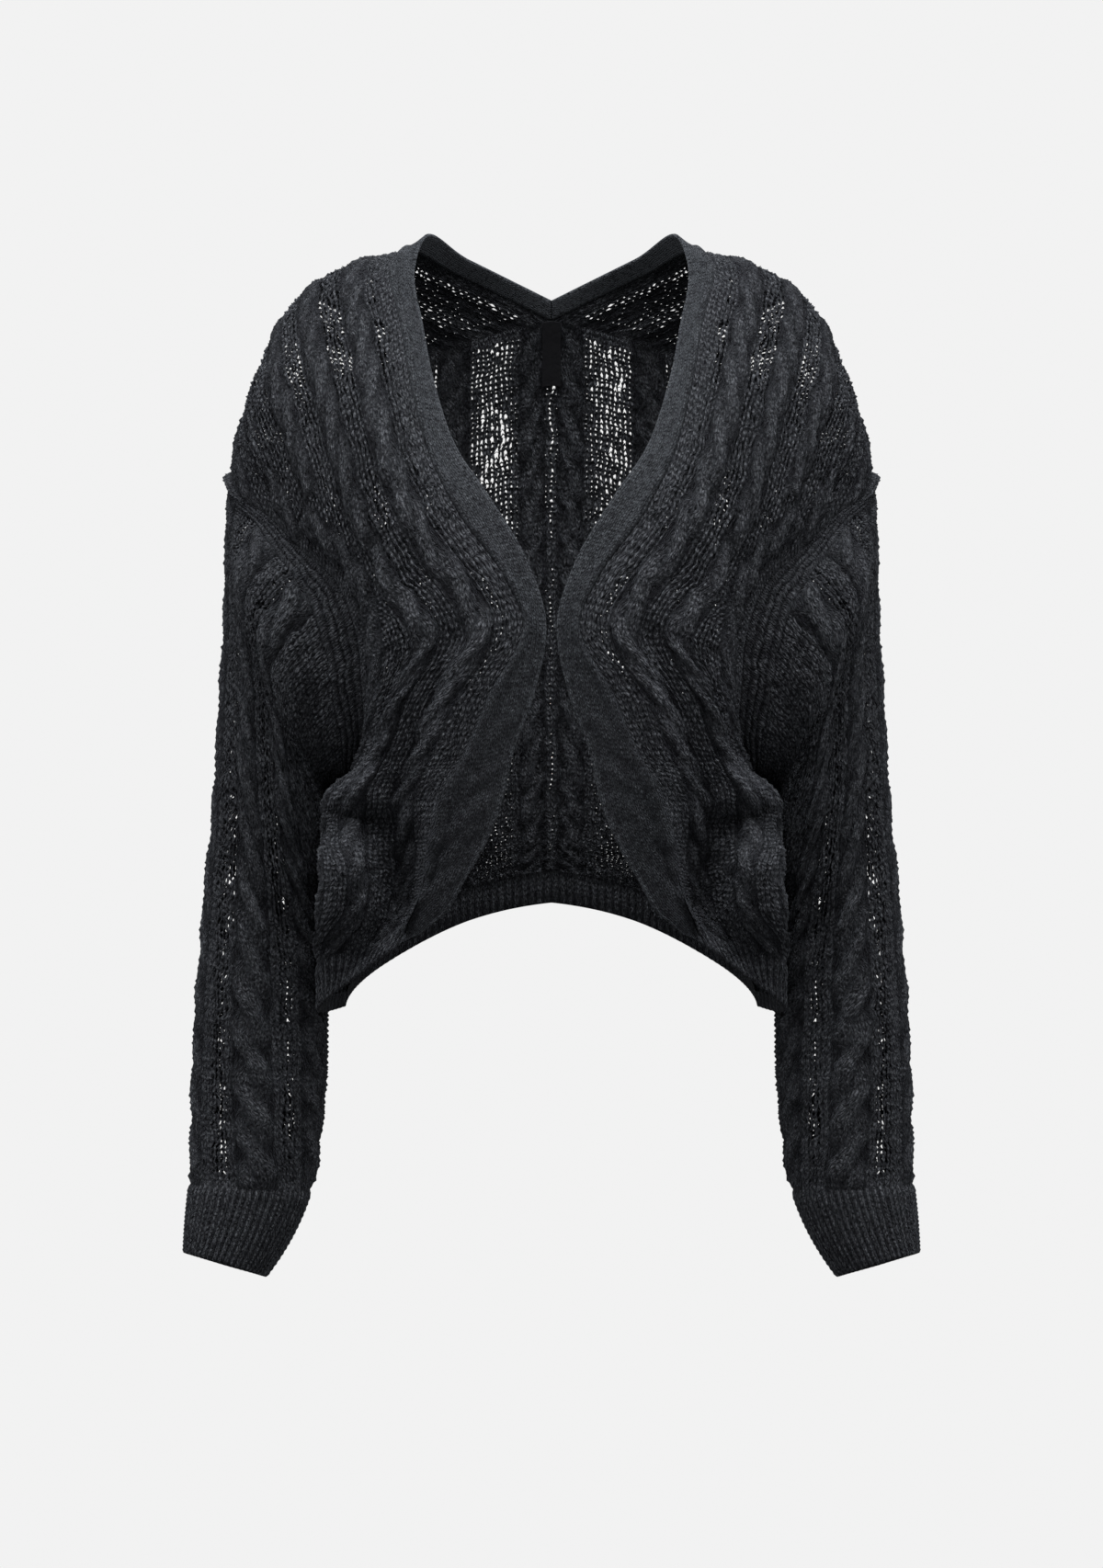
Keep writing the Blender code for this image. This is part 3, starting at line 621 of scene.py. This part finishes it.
def rope(across, along, width):
    """Give the height, from 0 to 1, of a cable of two strands that cross, and the upper strand's swing."""
    turn = math.pi * along / CROSSING
    swing = STRAND_SWING * width * np.cos(turn)
    half = STRAND_HALF_WIDTH * width
    height = np.zeros_like(across)
    shift = np.zeros_like(across)
    for side in (-1, 1):
        lift = STRAND_LEVEL + side * STRAND_RISE * np.sin(-turn)
        dome = np.sqrt(np.maximum(0, 1 - ((across - side * swing) / half) ** 2))
        shift = np.where(lift * dome > height, side * swing, shift)
        height = np.maximum(height, lift * dome)
    return height, shift


def cable_relief(across, along, cables):
    """Raise cables. Give their height, the swing of their strands, and 1 where a cable lies, else 0."""
    height = np.zeros_like(across)
    shift = np.zeros_like(across)
    covered = np.zeros_like(across)
    for middle, width in cables:
        away = across - middle
        raised, swing = rope(away, along, width)
        near = np.abs(away) < width / 2 + CABLE_MARGIN
        height = np.where(near, raised, height)
        shift = np.where(near, swing, shift)
        covered = np.maximum(covered, near)
    return height, shift, covered


def grid_faces(rows, columns):
    """Give the numbers of the four corners of each face of a grid."""
    number = np.arange(rows * columns).reshape(rows, columns)
    return np.stack([number[:-1, :-1], number[:-1, 1:], number[1:, 1:], number[1:, :-1]], axis=2)


def stitch_mesh(lattice, painted_light_and_shade, shift, openness, wale, seed):
    """Join a lattice with faces. Where openness is high, the corner between two wales becomes a gap."""
    rows, columns = lattice.points.shape[:2]
    number = np.arange(rows * columns).reshape(rows, columns)
    points = lattice.points.reshape(-1, 3)
    normals = lattice.normals.reshape(-1, 3)
    places = np.stack([(lattice.across - shift) / wale, lattice.courses], axis=2).reshape(-1, 2)
    solid = SOLID_WALES * wale
    hole = (lattice.across > lattice.first + solid) & (lattice.across < lattice.last - solid)
    hole &= (lattice.courses > SOLID_COURSES) & (lattice.courses < lattice.courses.max() - SOLID_COURSES)
    half = np.arange(rows)[:, None]
    hole &= (lattice.thirds % 3 == 0) & (half % 2 == 1) & (openness > GAP_LEAST)
    row, column = np.nonzero(hole)
    keep = np.ones((rows - 1, columns - 1), bool)
    for a in (-1, 0):
        for b in (-1, 0):
            keep[row + a, column + b] = False
    quads = [grid_faces(rows, columns)[keep]]
    steps = ((-1, -1), (-1, 0), (-1, 1), (0, 1), (1, 1), (1, 0), (1, -1), (0, -1))
    ring = np.stack([number[row + a, column + b] for a, b in steps], axis=1)
    middle = number[row, column][:, None]
    local = np.random.default_rng(seed)
    size = np.clip(openness[row, column], 0, GAP_LARGEST)[:, None, None]
    drift = local.uniform(-GAP_DRIFT, GAP_DRIFT, (len(row), 1, 2)) * (1 - size)
    around = points[ring]
    above, right, below, left = (around[:, k:k + 1] for k in (1, 3, 5, 7))
    centre = around.mean(axis=1, keepdims=True) + drift[..., :1] * (right - left)
    centre += drift[..., 1:] * (below - above)
    inner = centre + (around - centre) * size - normals[ring] * RIM_DROP
    inner_places = places[middle] + (places[ring] - places[middle]) * size
    numbers = len(points) + np.arange(ring.size).reshape(ring.shape)
    for k in range(len(steps)):
        after = (k + 1) % len(steps)
        quads.append(np.stack([ring[:, k], ring[:, after], numbers[:, after], numbers[:, k]], axis=1))
    # The rim round each gap takes a painted shade
    return (np.concatenate([points, inner.reshape(-1, 3)]), np.concatenate(quads),
            np.concatenate([places, inner_places.reshape(-1, 2)]),
            np.concatenate([painted_light_and_shade.ravel(), np.full(ring.size, RIM_SHADE)]))


def placed(name, data):
    """Put a new object into the scene."""
    thing = bpy.data.objects.new(name, data)
    bpy.context.scene.collection.objects.link(thing)
    return thing


def add_mesh(name, points, quads, places, painted_light_and_shade, material, mirror):
    """Add a smooth mesh of the points that its faces use, with its places across and down as a UV map."""
    used, quads = np.unique(quads, return_inverse=True)
    quads = quads.reshape(-1, 4)
    points, places, painted_light_and_shade = points.reshape(-1, 3)[used], places.reshape(-1, 2)[used], painted_light_and_shade.ravel()[used]
    if mirror:
        points = points * np.array([-1, 1, 1])
        quads = quads[:, ::-1]
    mesh = bpy.data.meshes.new(name)
    mesh.vertices.add(len(points))
    mesh.vertices.foreach_set("co", points.ravel())
    mesh.loops.add(quads.size)
    mesh.loops.foreach_set("vertex_index", quads.ravel())
    mesh.polygons.add(len(quads))
    mesh.polygons.foreach_set("loop_start", np.arange(len(quads)) * 4)
    mesh.update(calc_edges=True)
    layer = mesh.uv_layers.new(name="knit")
    layer.data.foreach_set("uv", places[quads.ravel()].ravel())
    # A point attribute carries the painted light and shade that the yarn's colour is multiplied by
    mesh.attributes.new("painted_light_and_shade", "FLOAT", "POINT").data.foreach_set("value", painted_light_and_shade.astype(np.float32))
    shell = bmesh.new()
    shell.from_mesh(mesh)
    bmesh.ops.remove_doubles(shell, verts=shell.verts, dist=WELD)
    shell.to_mesh(mesh)
    shell.free()
    mesh.validate()
    mesh.shade_smooth()
    mesh.materials.append(material)
    return placed(name, mesh)


def dress(piece, node):
    """Attach a shell to the root body and hide the CAD node that it stands in for."""
    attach(piece, "root")
    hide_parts(node)


def body_stations(middle, side, underarm, hem, rows):
    """Space the rows of a body panel along its middle to the underarm, along its side to the hem, and on."""
    upper = even_stations(middle, 0, underarm, rows * ROW_STEPS)
    lower = underarm + even_stations(side[underarm:], 0, hem - underarm, SIDE_ROWS * ROW_STEPS)
    rib = hem + np.linspace(0, 1, HEM_COURSES * 2 + 1)
    return np.concatenate([upper, lower[1:], rib[1:]])


def front_surfaces():
    """Lay out the left front and its band, down to the hem edge."""
    edge, seam, near, far, side = (table(FRONT, name) for name in ("edge", "seam", "near", "far", "side"))
    stations = body_stations((near + far) / 2, side, FRONT_UNDERARM, FRONT_HEM, SHOULDER_ROWS)
    edge, seam, near, far = (curve(line, stations) for line in (edge, seam, near, far))
    front = loft([seam, near, far, cornered_curve(side, stations, FRONT_UNDERARM)])
    band = loft([edge, (edge + seam) / 2, seam])
    front = creased(surface_from(front, directions(front, 1), 0), FRONT_CREASES, 1)
    return front, creased(surface_from(band, directions(band, 1), 0), FRONT_CREASES, 1)


def back_surface():
    """Lay out the whole back, down to the hem edge."""
    middle, near, far, side = (table(BACK, name) for name in ("middle", "near", "far", "side"))
    stations = body_stations((middle + near) / 2, side, BACK_UNDERARM, BACK_HEM, BACK_ROWS)
    lines = [curve(line, stations) for line in (middle, near, far)]
    half = loft(lines + [cornered_curve(side, stations, BACK_UNDERARM)])
    whole = np.concatenate([half[:, :0:-1] * np.array([-1, 1, 1]), half], axis=1)
    return creased(surface_from(whole, directions(whole, -1), ACROSS - 1), both_sides(BACK_CREASES), -1)


def armhole_loop(front, back):
    """Follow the armhole from the underarm, up the back, over the shoulder and down the front."""
    up = back.points[BACK_ROWS * ROW_STEPS:0:-1, -1]
    down = front.points[:SHOULDER_ROWS * ROW_STEPS + 1, -1]
    return np.concatenate([up, down])


def sleeve_ring(ring, angles):
    """Place the points of one ring of the sleeve."""
    outer, inner = np.array(ring.outer), np.array(ring.inner)
    centre = (outer + inner) / 2
    reach = (outer - inner) / 2
    across, forward = np.cos(angles), np.sin(angles)
    fuller = (np.abs(across) ** FULLNESS + np.abs(forward) ** FULLNESS) ** (-1 / FULLNESS)
    out, up = (centre + reach * (across * fuller)[:, None]).T
    back = ring.back - ring.half_depth * forward * fuller
    return np.stack([out, back, up + ring.lift * forward], axis=1) * MILLIMETRE


def sleeve_surface(loop):
    """Lay out the left sleeve and its cuff from the armhole down."""
    angles = np.linspace(-math.pi, math.pi, AROUND + 1)
    top = np.array(FRONT[SHOULDER_RIDGE].side) * MILLIMETRE
    run = arc(loop)
    highest = run[np.argmin(np.linalg.norm(loop - top, axis=1))]
    loop_angles = np.interp(run, [0, highest, run[-1]], [-math.pi, 0, math.pi])
    armhole = between(loop_angles, loop, angles)
    rings = np.array([armhole] + [sleeve_ring(ring, angles) for ring in SLEEVE])
    upper = even_stations(rings[:, 3 * AROUND // 4], 0, CUFF_SEAM, CUFF_START)
    cuff = CUFF_SEAM + np.linspace(0, CUFF_RINGS, CUFF_COURSES * 2 + 1)
    grid = curve(rings, np.concatenate([upper, cuff[1:]]))
    tube = surface_from(grid, directions(grid, -1, closed=True), AROUND // 2)
    return creased(tube, SLEEVE_CREASES, -1, closed=True)


def raise_lattice(lattice, height, legs, seed):
    """Move lattice points out by a height and the legs' own, with the unevenness of hand-knit yarn."""
    local = np.random.default_rng(seed)
    shape = lattice.points.shape[:2]
    down = lattice.courses * COURSE
    slow = smooth_noise(lattice.across, down, SWELL_PITCH, seed)
    slow += SMALL_SWELL * smooth_noise(lattice.across, down, SMALL_SWELL_PITCH, seed + 1)
    edge = np.minimum(lattice.across - lattice.first, lattice.last - lattice.across)
    ends = np.minimum(lattice.courses, lattice.courses.max() - lattice.courses) * COURSE
    free = np.clip(np.minimum(edge, ends) / CALM_SEAM, 0, 1)
    wander = local.uniform(-WANDER, WANDER, shape + (3,)) * free[..., None]
    lift = height + LEG_HEIGHT * legs * local.uniform(*LEG_RANGE, shape) + SWELL_HEIGHT * slow - SET_BACK
    return lattice._replace(points=lattice.points + lattice.normals * (lift * free)[..., None] + wander)


def strip(place, first, last):
    """Give 1 between two places and 0 outside, with soft edges."""
    inside = np.clip((place - first) / SOFT_EDGE + 0.5, 0, 1)
    return inside * np.clip((last - place) / SOFT_EDGE + 0.5, 0, 1)


def hump(away, half_width):
    """Give 1 in the middle of a strip of lace and 0 outside, with rounded sides."""
    return np.exp(-(away / half_width) ** 4)


def faded(lattice, fade):
    """Read a value that changes with the courses."""
    return np.interp(lattice.courses, fade.courses, fade.values)


def laced(lattice, lace):
    """Give how much one wider strip of lace adds."""
    here = np.interp(lattice.courses, lace.courses, (0, lace.more, lace.more, 0))
    return strip(lattice.across, lace.first, lace.last) * here


def clear_of_side(lattice, away):
    """Give 0 beside a panel's side seam and 1 further in."""
    return np.clip((lattice.last - away) / CALM_SIDE - 0.5, 0, 1)


def above_least(least, share):
    """Give a share that starts at a least value instead of 0."""
    return least + (1 - least) * share


def knit_panel(name, node, panel, wale, cables, openness, mirror, material, seed, plain_rows=-ZIGZAG_START):
    """Knit one panel from its cables and its openness, which are functions of a lattice."""
    lattice = stitches(panel, wale, seed + 6, plain_rows)
    height, shift, covered = cables(lattice)
    legs = leg_relief(lattice)
    local = np.random.default_rng(seed)
    down = lattice.courses * COURSE / GAP_CHANGE_STRETCH
    loose = 1 + GAP_CHANGE * smooth_noise(lattice.across, down, GAP_CHANGE_PITCH, seed + 2)
    gaps = openness(lattice) * loose * local.uniform(*GAP_RANGE, lattice.across.shape) * (1 - covered)
    raised = raise_lattice(lattice, CABLE_HEIGHT * height, legs * (1 - CABLE_LEG_LOSS * covered), seed + 3)
    # Painted shade: darker low between a cable's strands, between the legs on a cable, and between the legs
    # of the flat knit
    on_cable = above_least(DEEP_GROOVE_SHADE, height) * above_least(CABLE_GROOVE_SHADE, legs)
    painted_light_and_shade = np.where(covered > 0, on_cable, above_least(DEEP_GROOVE_SHADE, legs))
    mesh = stitch_mesh(raised, painted_light_and_shade, shift, gaps, wale, seed + 4)
    piece = add_mesh(name, *mesh, material, mirror)
    dress(piece, node)


def build_front(surface, mirror, suffix, material):
    """Knit one front."""
    panel = rows_of(surface, 0, FRONT_HEM_START)

    def cables(lattice):
        along = along_cable(lattice)
        side = lattice.last - lattice.first - SIDE_CABLE.middle
        beside = lattice.courses >= SIDE_CABLE_ROW * ROW_COURSES
        beside &= lattice.across > side - SIDE_CABLE.width
        own = cable_relief(lattice.across - side, along, [Cable(0, SIDE_CABLE.width)])
        height, shift, covered = cable_relief(lattice.across, along, FRONT_CABLES)
        height = height * faded(lattice, FRONT_CABLE_RISE)
        covered = covered * faded(lattice, FRONT_CABLE_COVER) * (1 - laced(lattice, THINNED_CABLE))
        return [np.where(beside, a, b) for a, b in zip(own, (height, shift, covered))]

    def openness(lattice):
        fall = faded(lattice, FRONT_OPEN)
        for lace in FRONT_LACE:
            fall = fall + laced(lattice, lace)
        lace = strip(lattice.across, FRONT_LACE_START, FAR_OUT) * fall
        return lace * clear_of_side(lattice, lattice.across)

    knit_panel("knit_front_" + suffix, "front_" + suffix, panel, WALE, cables, openness, mirror, material,
               FRONT_SEED)


def build_back(surface, material):
    """Knit the back."""
    panel = rows_of(surface, 0, BACK_HEM_START)

    def cables(lattice):
        return cable_relief(np.abs(lattice.across), along_cable(lattice), BACK_CABLES)

    def openness(lattice):
        away = np.abs(lattice.across)
        wide = hump(away - BACK_LACE, BACK_LACE_HALF_WIDTH)
        ladder = LADDER_OPEN * np.exp(-(away / LADDER_HALF_WIDTH) ** 2)
        side = BACK_SIDE_OPEN * strip(away, BACK_SIDE, FAR_OUT)
        lace = np.maximum(np.maximum(wide, ladder), side)
        return faded(lattice, BACK_OPEN) * lace * clear_of_side(lattice, away)

    knit_panel("knit_back", "back", panel, WALE, cables, openness, False, material, BACK_SEED)


def build_sleeve(surface, mirror, suffix, material):
    """Knit one sleeve, with plain ridges round its head."""
    tube = rows_of(surface, 0, CUFF_START)

    def cables(lattice):
        height, shift, covered = cable_relief(np.abs(lattice.across), along_cable(lattice), SLEEVE_CABLES)
        head = np.clip(PLAIN_COURSES + 0.5 - lattice.courses, 0, 1)
        ridge = RIDGE_HEIGHT * (0.5 - 0.5 * np.cos(2 * math.pi * lattice.courses / RIDGE_COURSES))
        down = (lattice.courses - BUMP_COURSE) / BUMP_HALF_COURSES
        bump = BUMP_HEIGHT * np.exp(-(lattice.across / BUMP_HALF_WIDTH) ** 2 - down ** 2)
        return height * (1 - head) + ridge * head + bump, shift * (1 - head), np.maximum(covered, head)

    def openness(lattice):
        away = np.abs(lattice.across)
        first = hump(away - FIRST_LACE, faded(lattice, FIRST_HALF_WIDTH))
        strength = faded(lattice, SECOND_STRENGTH)
        half_width = SECOND_HALF_WIDTH + SECOND_GROWTH * strength
        second = strength * hump(away - faded(lattice, SECOND_LACE), half_width)
        behind = np.where(lattice.across < 0, np.interp(away, BEHIND_PLACES, BEHIND_OPEN), 1)
        return SLEEVE_OPEN + behind * np.maximum(first, second)

    knit_panel("knit_sleeve_" + suffix, "sleeve_" + suffix, tube, SLEEVE_WALE, cables, openness, mirror,
               material, SLEEVE_SEED, 2 * PLAIN_COURSES)


def rib_shell(name, surface, start, ribs, mirror, material):
    """Knit a ribbed edge, turned in at its end."""
    part = rows_of(surface, start - 1, len(surface.points) - 1)
    rows = np.arange(len(part.points), dtype=float)
    row, share = np.meshgrid(rows, np.linspace(0, 1, ribs * RIB_STEPS + 1), indexing="ij")
    points, normals, down = read(part, row, share)
    crest = 0.5 - 0.5 * np.cos(2 * math.pi * ribs * share)
    grown = np.clip(row / RIB_GROWTH_ROWS, 0, 1)
    course = RIB_COURSE_HEIGHT * np.cos(2 * math.pi * row / 2)
    height = RIB_HEIGHT * crest * grown + course * grown + CLOTH / 4 - RIB_SET_BACK * (1 - grown)
    outer = points + normals * height[..., None]
    step = unit(points[-1:] - points[-2:-1])
    turned = []
    for angle in (math.pi / 4, math.pi / 2, 3 * math.pi / 4):
        reach = CLOTH / 2 * math.sin(angle)
        sunk = CLOTH / 2 * (0.5 - 0.5 * math.cos(angle))
        lift = height[-1:, :, None] * (0.5 + 0.5 * math.cos(angle)) - sunk
        turned.append(points[-1:] + step * reach + normals[-1:] * lift)
    inside = (points - normals * CLOTH / 2)[:-RIB_INSIDE_ROWS - 1:-1]
    grid = np.concatenate([outer] + turned + [inside])
    added = len(grid) - len(down)
    across = np.broadcast_to(share[:1] * (part.last - part.first).mean(), grid.shape[:2])
    further = np.arange(1, added + 1)[:, None] * RIB_ROW + down[-1:]
    places = np.stack([across / WALE, np.concatenate([down, further]) / COURSE], axis=2)
    quads = grid_faces(*grid.shape[:2])
    # Painted shade in the grooves between ribs and on the turned-in inside, painted light on the crests
    tone = [RIB_GROOVE_SHADE + RIB_CREST_LIGHT * crest] + [crest[-1:] * RIB_INSIDE_SHADE] * added
    piece = add_mesh("knit_" + name, grid, quads, places, np.concatenate(tone), material, mirror)
    dress(piece, name)


def build_band(surface, mirror, suffix, material):
    """Knit the plain band, double, with a rolled free edge and a ridge beside its seam."""
    rows = np.arange(len(surface.points), dtype=float)
    zero = np.zeros_like(rows)
    edge, edge_normal, edge_down = read(surface, rows, zero)
    outward = unit(edge - read(surface, rows, zero + NEXT_TO_EDGE)[0])
    width = surface.last - surface.first
    grid = []
    places = []
    for share in np.linspace(1, 0, BAND_OUTSIDE):
        points, normals, down = read(surface, rows, zero + share)
        ridge = SEAM_RIDGE * math.exp(-((share - SEAM_PLACE) / SEAM_HALF_WIDTH) ** 2)
        uneven = BAND_UNEVEN * smooth_noise(share * width, down, BAND_UNEVEN_PITCH, BAND_SEED)
        lift = BAND_ROLL * min(1, BAND_THINNEST + share) + ridge + uneven
        grid.append(points + normals * lift[:, None])
        places.append(np.stack([share * width, down], axis=1) / BAND_STITCH)
    for angle in np.radians(BAND_TURN):
        reach = outward * BAND_ROLL * math.cos(angle)
        grid.append(edge + reach + edge_normal * BAND_ROLL * math.sin(angle))
        turned = zero - BAND_ROLL * (BAND_TURN_START - angle)
        places.append(np.stack([turned, edge_down], axis=1) / BAND_STITCH)
    for share in np.linspace(0, 1, BAND_INSIDE):
        points, normals, down = read(surface, rows, zero + share)
        grid.append(points - normals * BAND_ROLL)
        places.append(np.stack([-BAND_TURN_WIDTH - share * width, down], axis=1) / BAND_STITCH)
    grid = np.stack(grid + grid[:1], axis=1)
    places = np.stack(places + places[:1], axis=1)
    quads = grid_faces(*grid.shape[:2])[..., [0, 3, 2, 1]]
    inside = BAND_OUTSIDE + len(BAND_TURN)
    # The band's own tone, with a painted highlight on its rolled edge, painted light on its inside, and
    # painted shade down its rows
    tone = np.full(grid.shape[:2], BAND_TONE)
    tone[:, BAND_OUTSIDE - 1:inside - 1] = BAND_EDGE_HIGHLIGHT
    tone[:, inside:-1] = BAND_INSIDE_LIGHT
    tone *= np.interp(rows, BAND_SHADE_ROWS, BAND_SHADE)[:, None]
    piece = add_mesh("knit_band_" + suffix, grid, quads, places, tone, material, mirror)
    dress(piece, "band_" + suffix)


def finish(shader, values):
    """Set a shader's sockets by name."""
    for socket, value in values.items():
        shader.inputs[socket].default_value = value


def knit_material(name, yarn):
    """Make yarn: small raised V stitches with painted shade between them, uneven charcoal colour and loose
    fibres, times the shell's painted light and shade.
    """
    material = bpy.data.materials.new(name)
    material.use_nodes = True
    nodes, links = material.node_tree.nodes, material.node_tree.links
    shader = nodes["Principled BSDF"]

    def math_node(operation, *values):
        node = nodes.new("ShaderNodeMath")
        node.operation = operation
        for socket, value in zip(node.inputs, values):
            if isinstance(value, (int, float)):
                socket.default_value = value
            else:
                links.new(value, socket)
        return node.outputs[0]

    def add(*values):
        return math_node("ADD", *values)

    def times(*values):
        return math_node("MULTIPLY", *values)

    def centred(value):
        return math_node("SUBTRACT", value, 0.5)

    def noise(uneven):
        node = nodes.new("ShaderNodeTexNoise")
        finish(node, {"Scale": uneven.scale, "Detail": uneven.detail})
        links.new(where.outputs["Object"], node.inputs["Vector"])
        return node.outputs[0]

    where = nodes.new("ShaderNodeTexCoord")
    place = nodes.new("ShaderNodeUVMap")
    place.uv_map = "knit"
    split = nodes.new("ShaderNodeSeparateXYZ")
    links.new(place.outputs[0], split.inputs[0])
    wander = times(centred(noise(WAVER)), WAVER.gain)
    across = add(split.outputs[0], wander)
    down = add(split.outputs[1], wander)
    from_middle = math_node("ABSOLUTE", centred(math_node("FRACT", across)))
    phase = add(down, times(from_middle, SLANT))
    along_leg = math_node("ABSOLUTE", math_node("SINE", times(phase, math.pi)))
    across_leg = math_node("ABSOLUTE", math_node("SINE", times(from_middle, 2 * math.pi)))
    leg = times(math_node("POWER", along_leg, LEG_POWER), math_node("POWER", across_leg, LEG_POWER_ACROSS))
    fibre, speck, blotch = noise(FIBRE), noise(SPECK), noise(BLOTCH)
    painted_light_and_shade = nodes.new("ShaderNodeAttribute")
    painted_light_and_shade.attribute_name = "painted_light_and_shade"
    height = add(times(leg, LEG_RELIEF), times(fibre, FIBRE_RELIEF))
    height = add(height, times(speck, SPECK_RELIEF))
    # Painted shade between the legs of each stitch, times the shell's painted light and shade
    tone = times(add(times(leg, LEG_SHADE_RANGE), GROOVE_SHADE), painted_light_and_shade.outputs["Fac"])
    for texture, gain in ((fibre, FIBRE.gain), (speck, SPECK.gain), (blotch, BLOTCH.gain)):
        uneven = add(times(centred(texture), gain), 1.0)
        tone = times(tone, math_node("MAXIMUM", uneven, LEAST_TONE))
    ramp = nodes.new("ShaderNodeValToRGB")
    ramp.color_ramp.elements[0].color = yarn.dark
    ramp.color_ramp.elements[1].color = yarn.light
    links.new(tone, ramp.inputs[0])
    links.new(ramp.outputs[0], shader.inputs["Base Color"])
    bump = nodes.new("ShaderNodeBump")
    finish(bump, {"Strength": 1, "Distance": yarn.depth})
    links.new(height, bump.inputs["Height"])
    links.new(bump.outputs[0], shader.inputs["Normal"])
    finish(shader, YARN_FINISH)
    return material


def add_camera():
    """Look level at the garment from the front, framed as the photo is."""
    camera = bpy.data.cameras.new("camera")
    camera.sensor_fit = "VERTICAL"
    camera.sensor_height = SENSOR_HEIGHT
    camera.lens = SENSOR_HEIGHT * CAMERA_DISTANCE / FRAME_HEIGHT
    stand = placed("camera", camera)
    stand.location = (0, -CAMERA_DISTANCE, CAMERA_UP)
    stand.rotation_euler = (math.pi / 2, 0, 0)
    bpy.context.scene.camera = stand


def add_light(lamp):
    """Add one square soft light aimed at the garment's middle."""
    light = bpy.data.lights.new(lamp.name, "AREA")
    light.size = lamp.size
    light.energy = lamp.power
    stand = placed(lamp.name, light)
    stand.location = lamp.place
    aim = Vector(LIGHT_AIM) - Vector(lamp.place)
    stand.rotation_euler = aim.to_track_quat("-Z", "Y").to_euler()


def add_studio():
    """Add a pale floor and backdrop in one plain tone, and soft light from all sides."""
    scene = bpy.context.scene
    scene.view_settings.view_transform = "Standard"
    world = bpy.data.worlds.new("studio")
    world.use_nodes = True
    nodes, links = world.node_tree.nodes, world.node_tree.links
    nodes["Background"].inputs[0].default_value = (AMBIENT, AMBIENT, AMBIENT, 1)
    backdrop = nodes.new("ShaderNodeBackground")
    backdrop.inputs[0].default_value = (PALE, PALE, PALE, 1)
    mix = nodes.new("ShaderNodeMixShader")
    links.new(nodes.new("ShaderNodeLightPath").outputs["Is Camera Ray"], mix.inputs[0])
    links.new(nodes["Background"].outputs[0], mix.inputs[1])
    links.new(backdrop.outputs[0], mix.inputs[2])
    links.new(mix.outputs[0], nodes["World Output"].inputs[0])
    scene.world = world
    pale = bpy.data.materials.new("pale_floor")
    pale.use_nodes = True
    finish(pale.node_tree.nodes["Principled BSDF"], FLOOR_FINISH)
    bpy.ops.mesh.primitive_plane_add(size=FLOOR_SIZE, location=(0, 0, FLOOR_UP))
    floor = bpy.context.object
    floor.name = "floor"
    floor.data.materials.append(pale)
    floor.visible_diffuse = floor.visible_glossy = False
    for lamp in LAMPS:
        add_light(lamp)


def main():
    """Build the whole scene."""
    yarn = knit_material("charcoal_knit", KNIT_YARN)
    shaded_band_yarn = knit_material("charcoal_band_shaded", SHADED_BAND_YARN)
    front, band = front_surfaces()
    back = back_surface()
    sleeve = sleeve_surface(armhole_loop(front, back))
    build_back(back, yarn)
    rib_shell("hem_back", back, BACK_HEM_START, BACK_RIBS, False, yarn)
    for mirror, suffix in ((False, "left"), (True, "right")):
        build_front(front, mirror, suffix, yarn)
        build_band(band, mirror, suffix, shaded_band_yarn)
        build_sleeve(sleeve, mirror, suffix, yarn)
        rib_shell("hem_front_" + suffix, front, FRONT_HEM_START, FRONT_RIBS, mirror, yarn)
        rib_shell("cuff_" + suffix, sleeve, CUFF_START, CUFF_RIBS, mirror, yarn)
    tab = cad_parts["neck_tab"]
    tab.data.materials.clear()
    tab.data.materials.append(knit_material("black_tape", TAPE))
    add_camera()
    add_studio()


main()
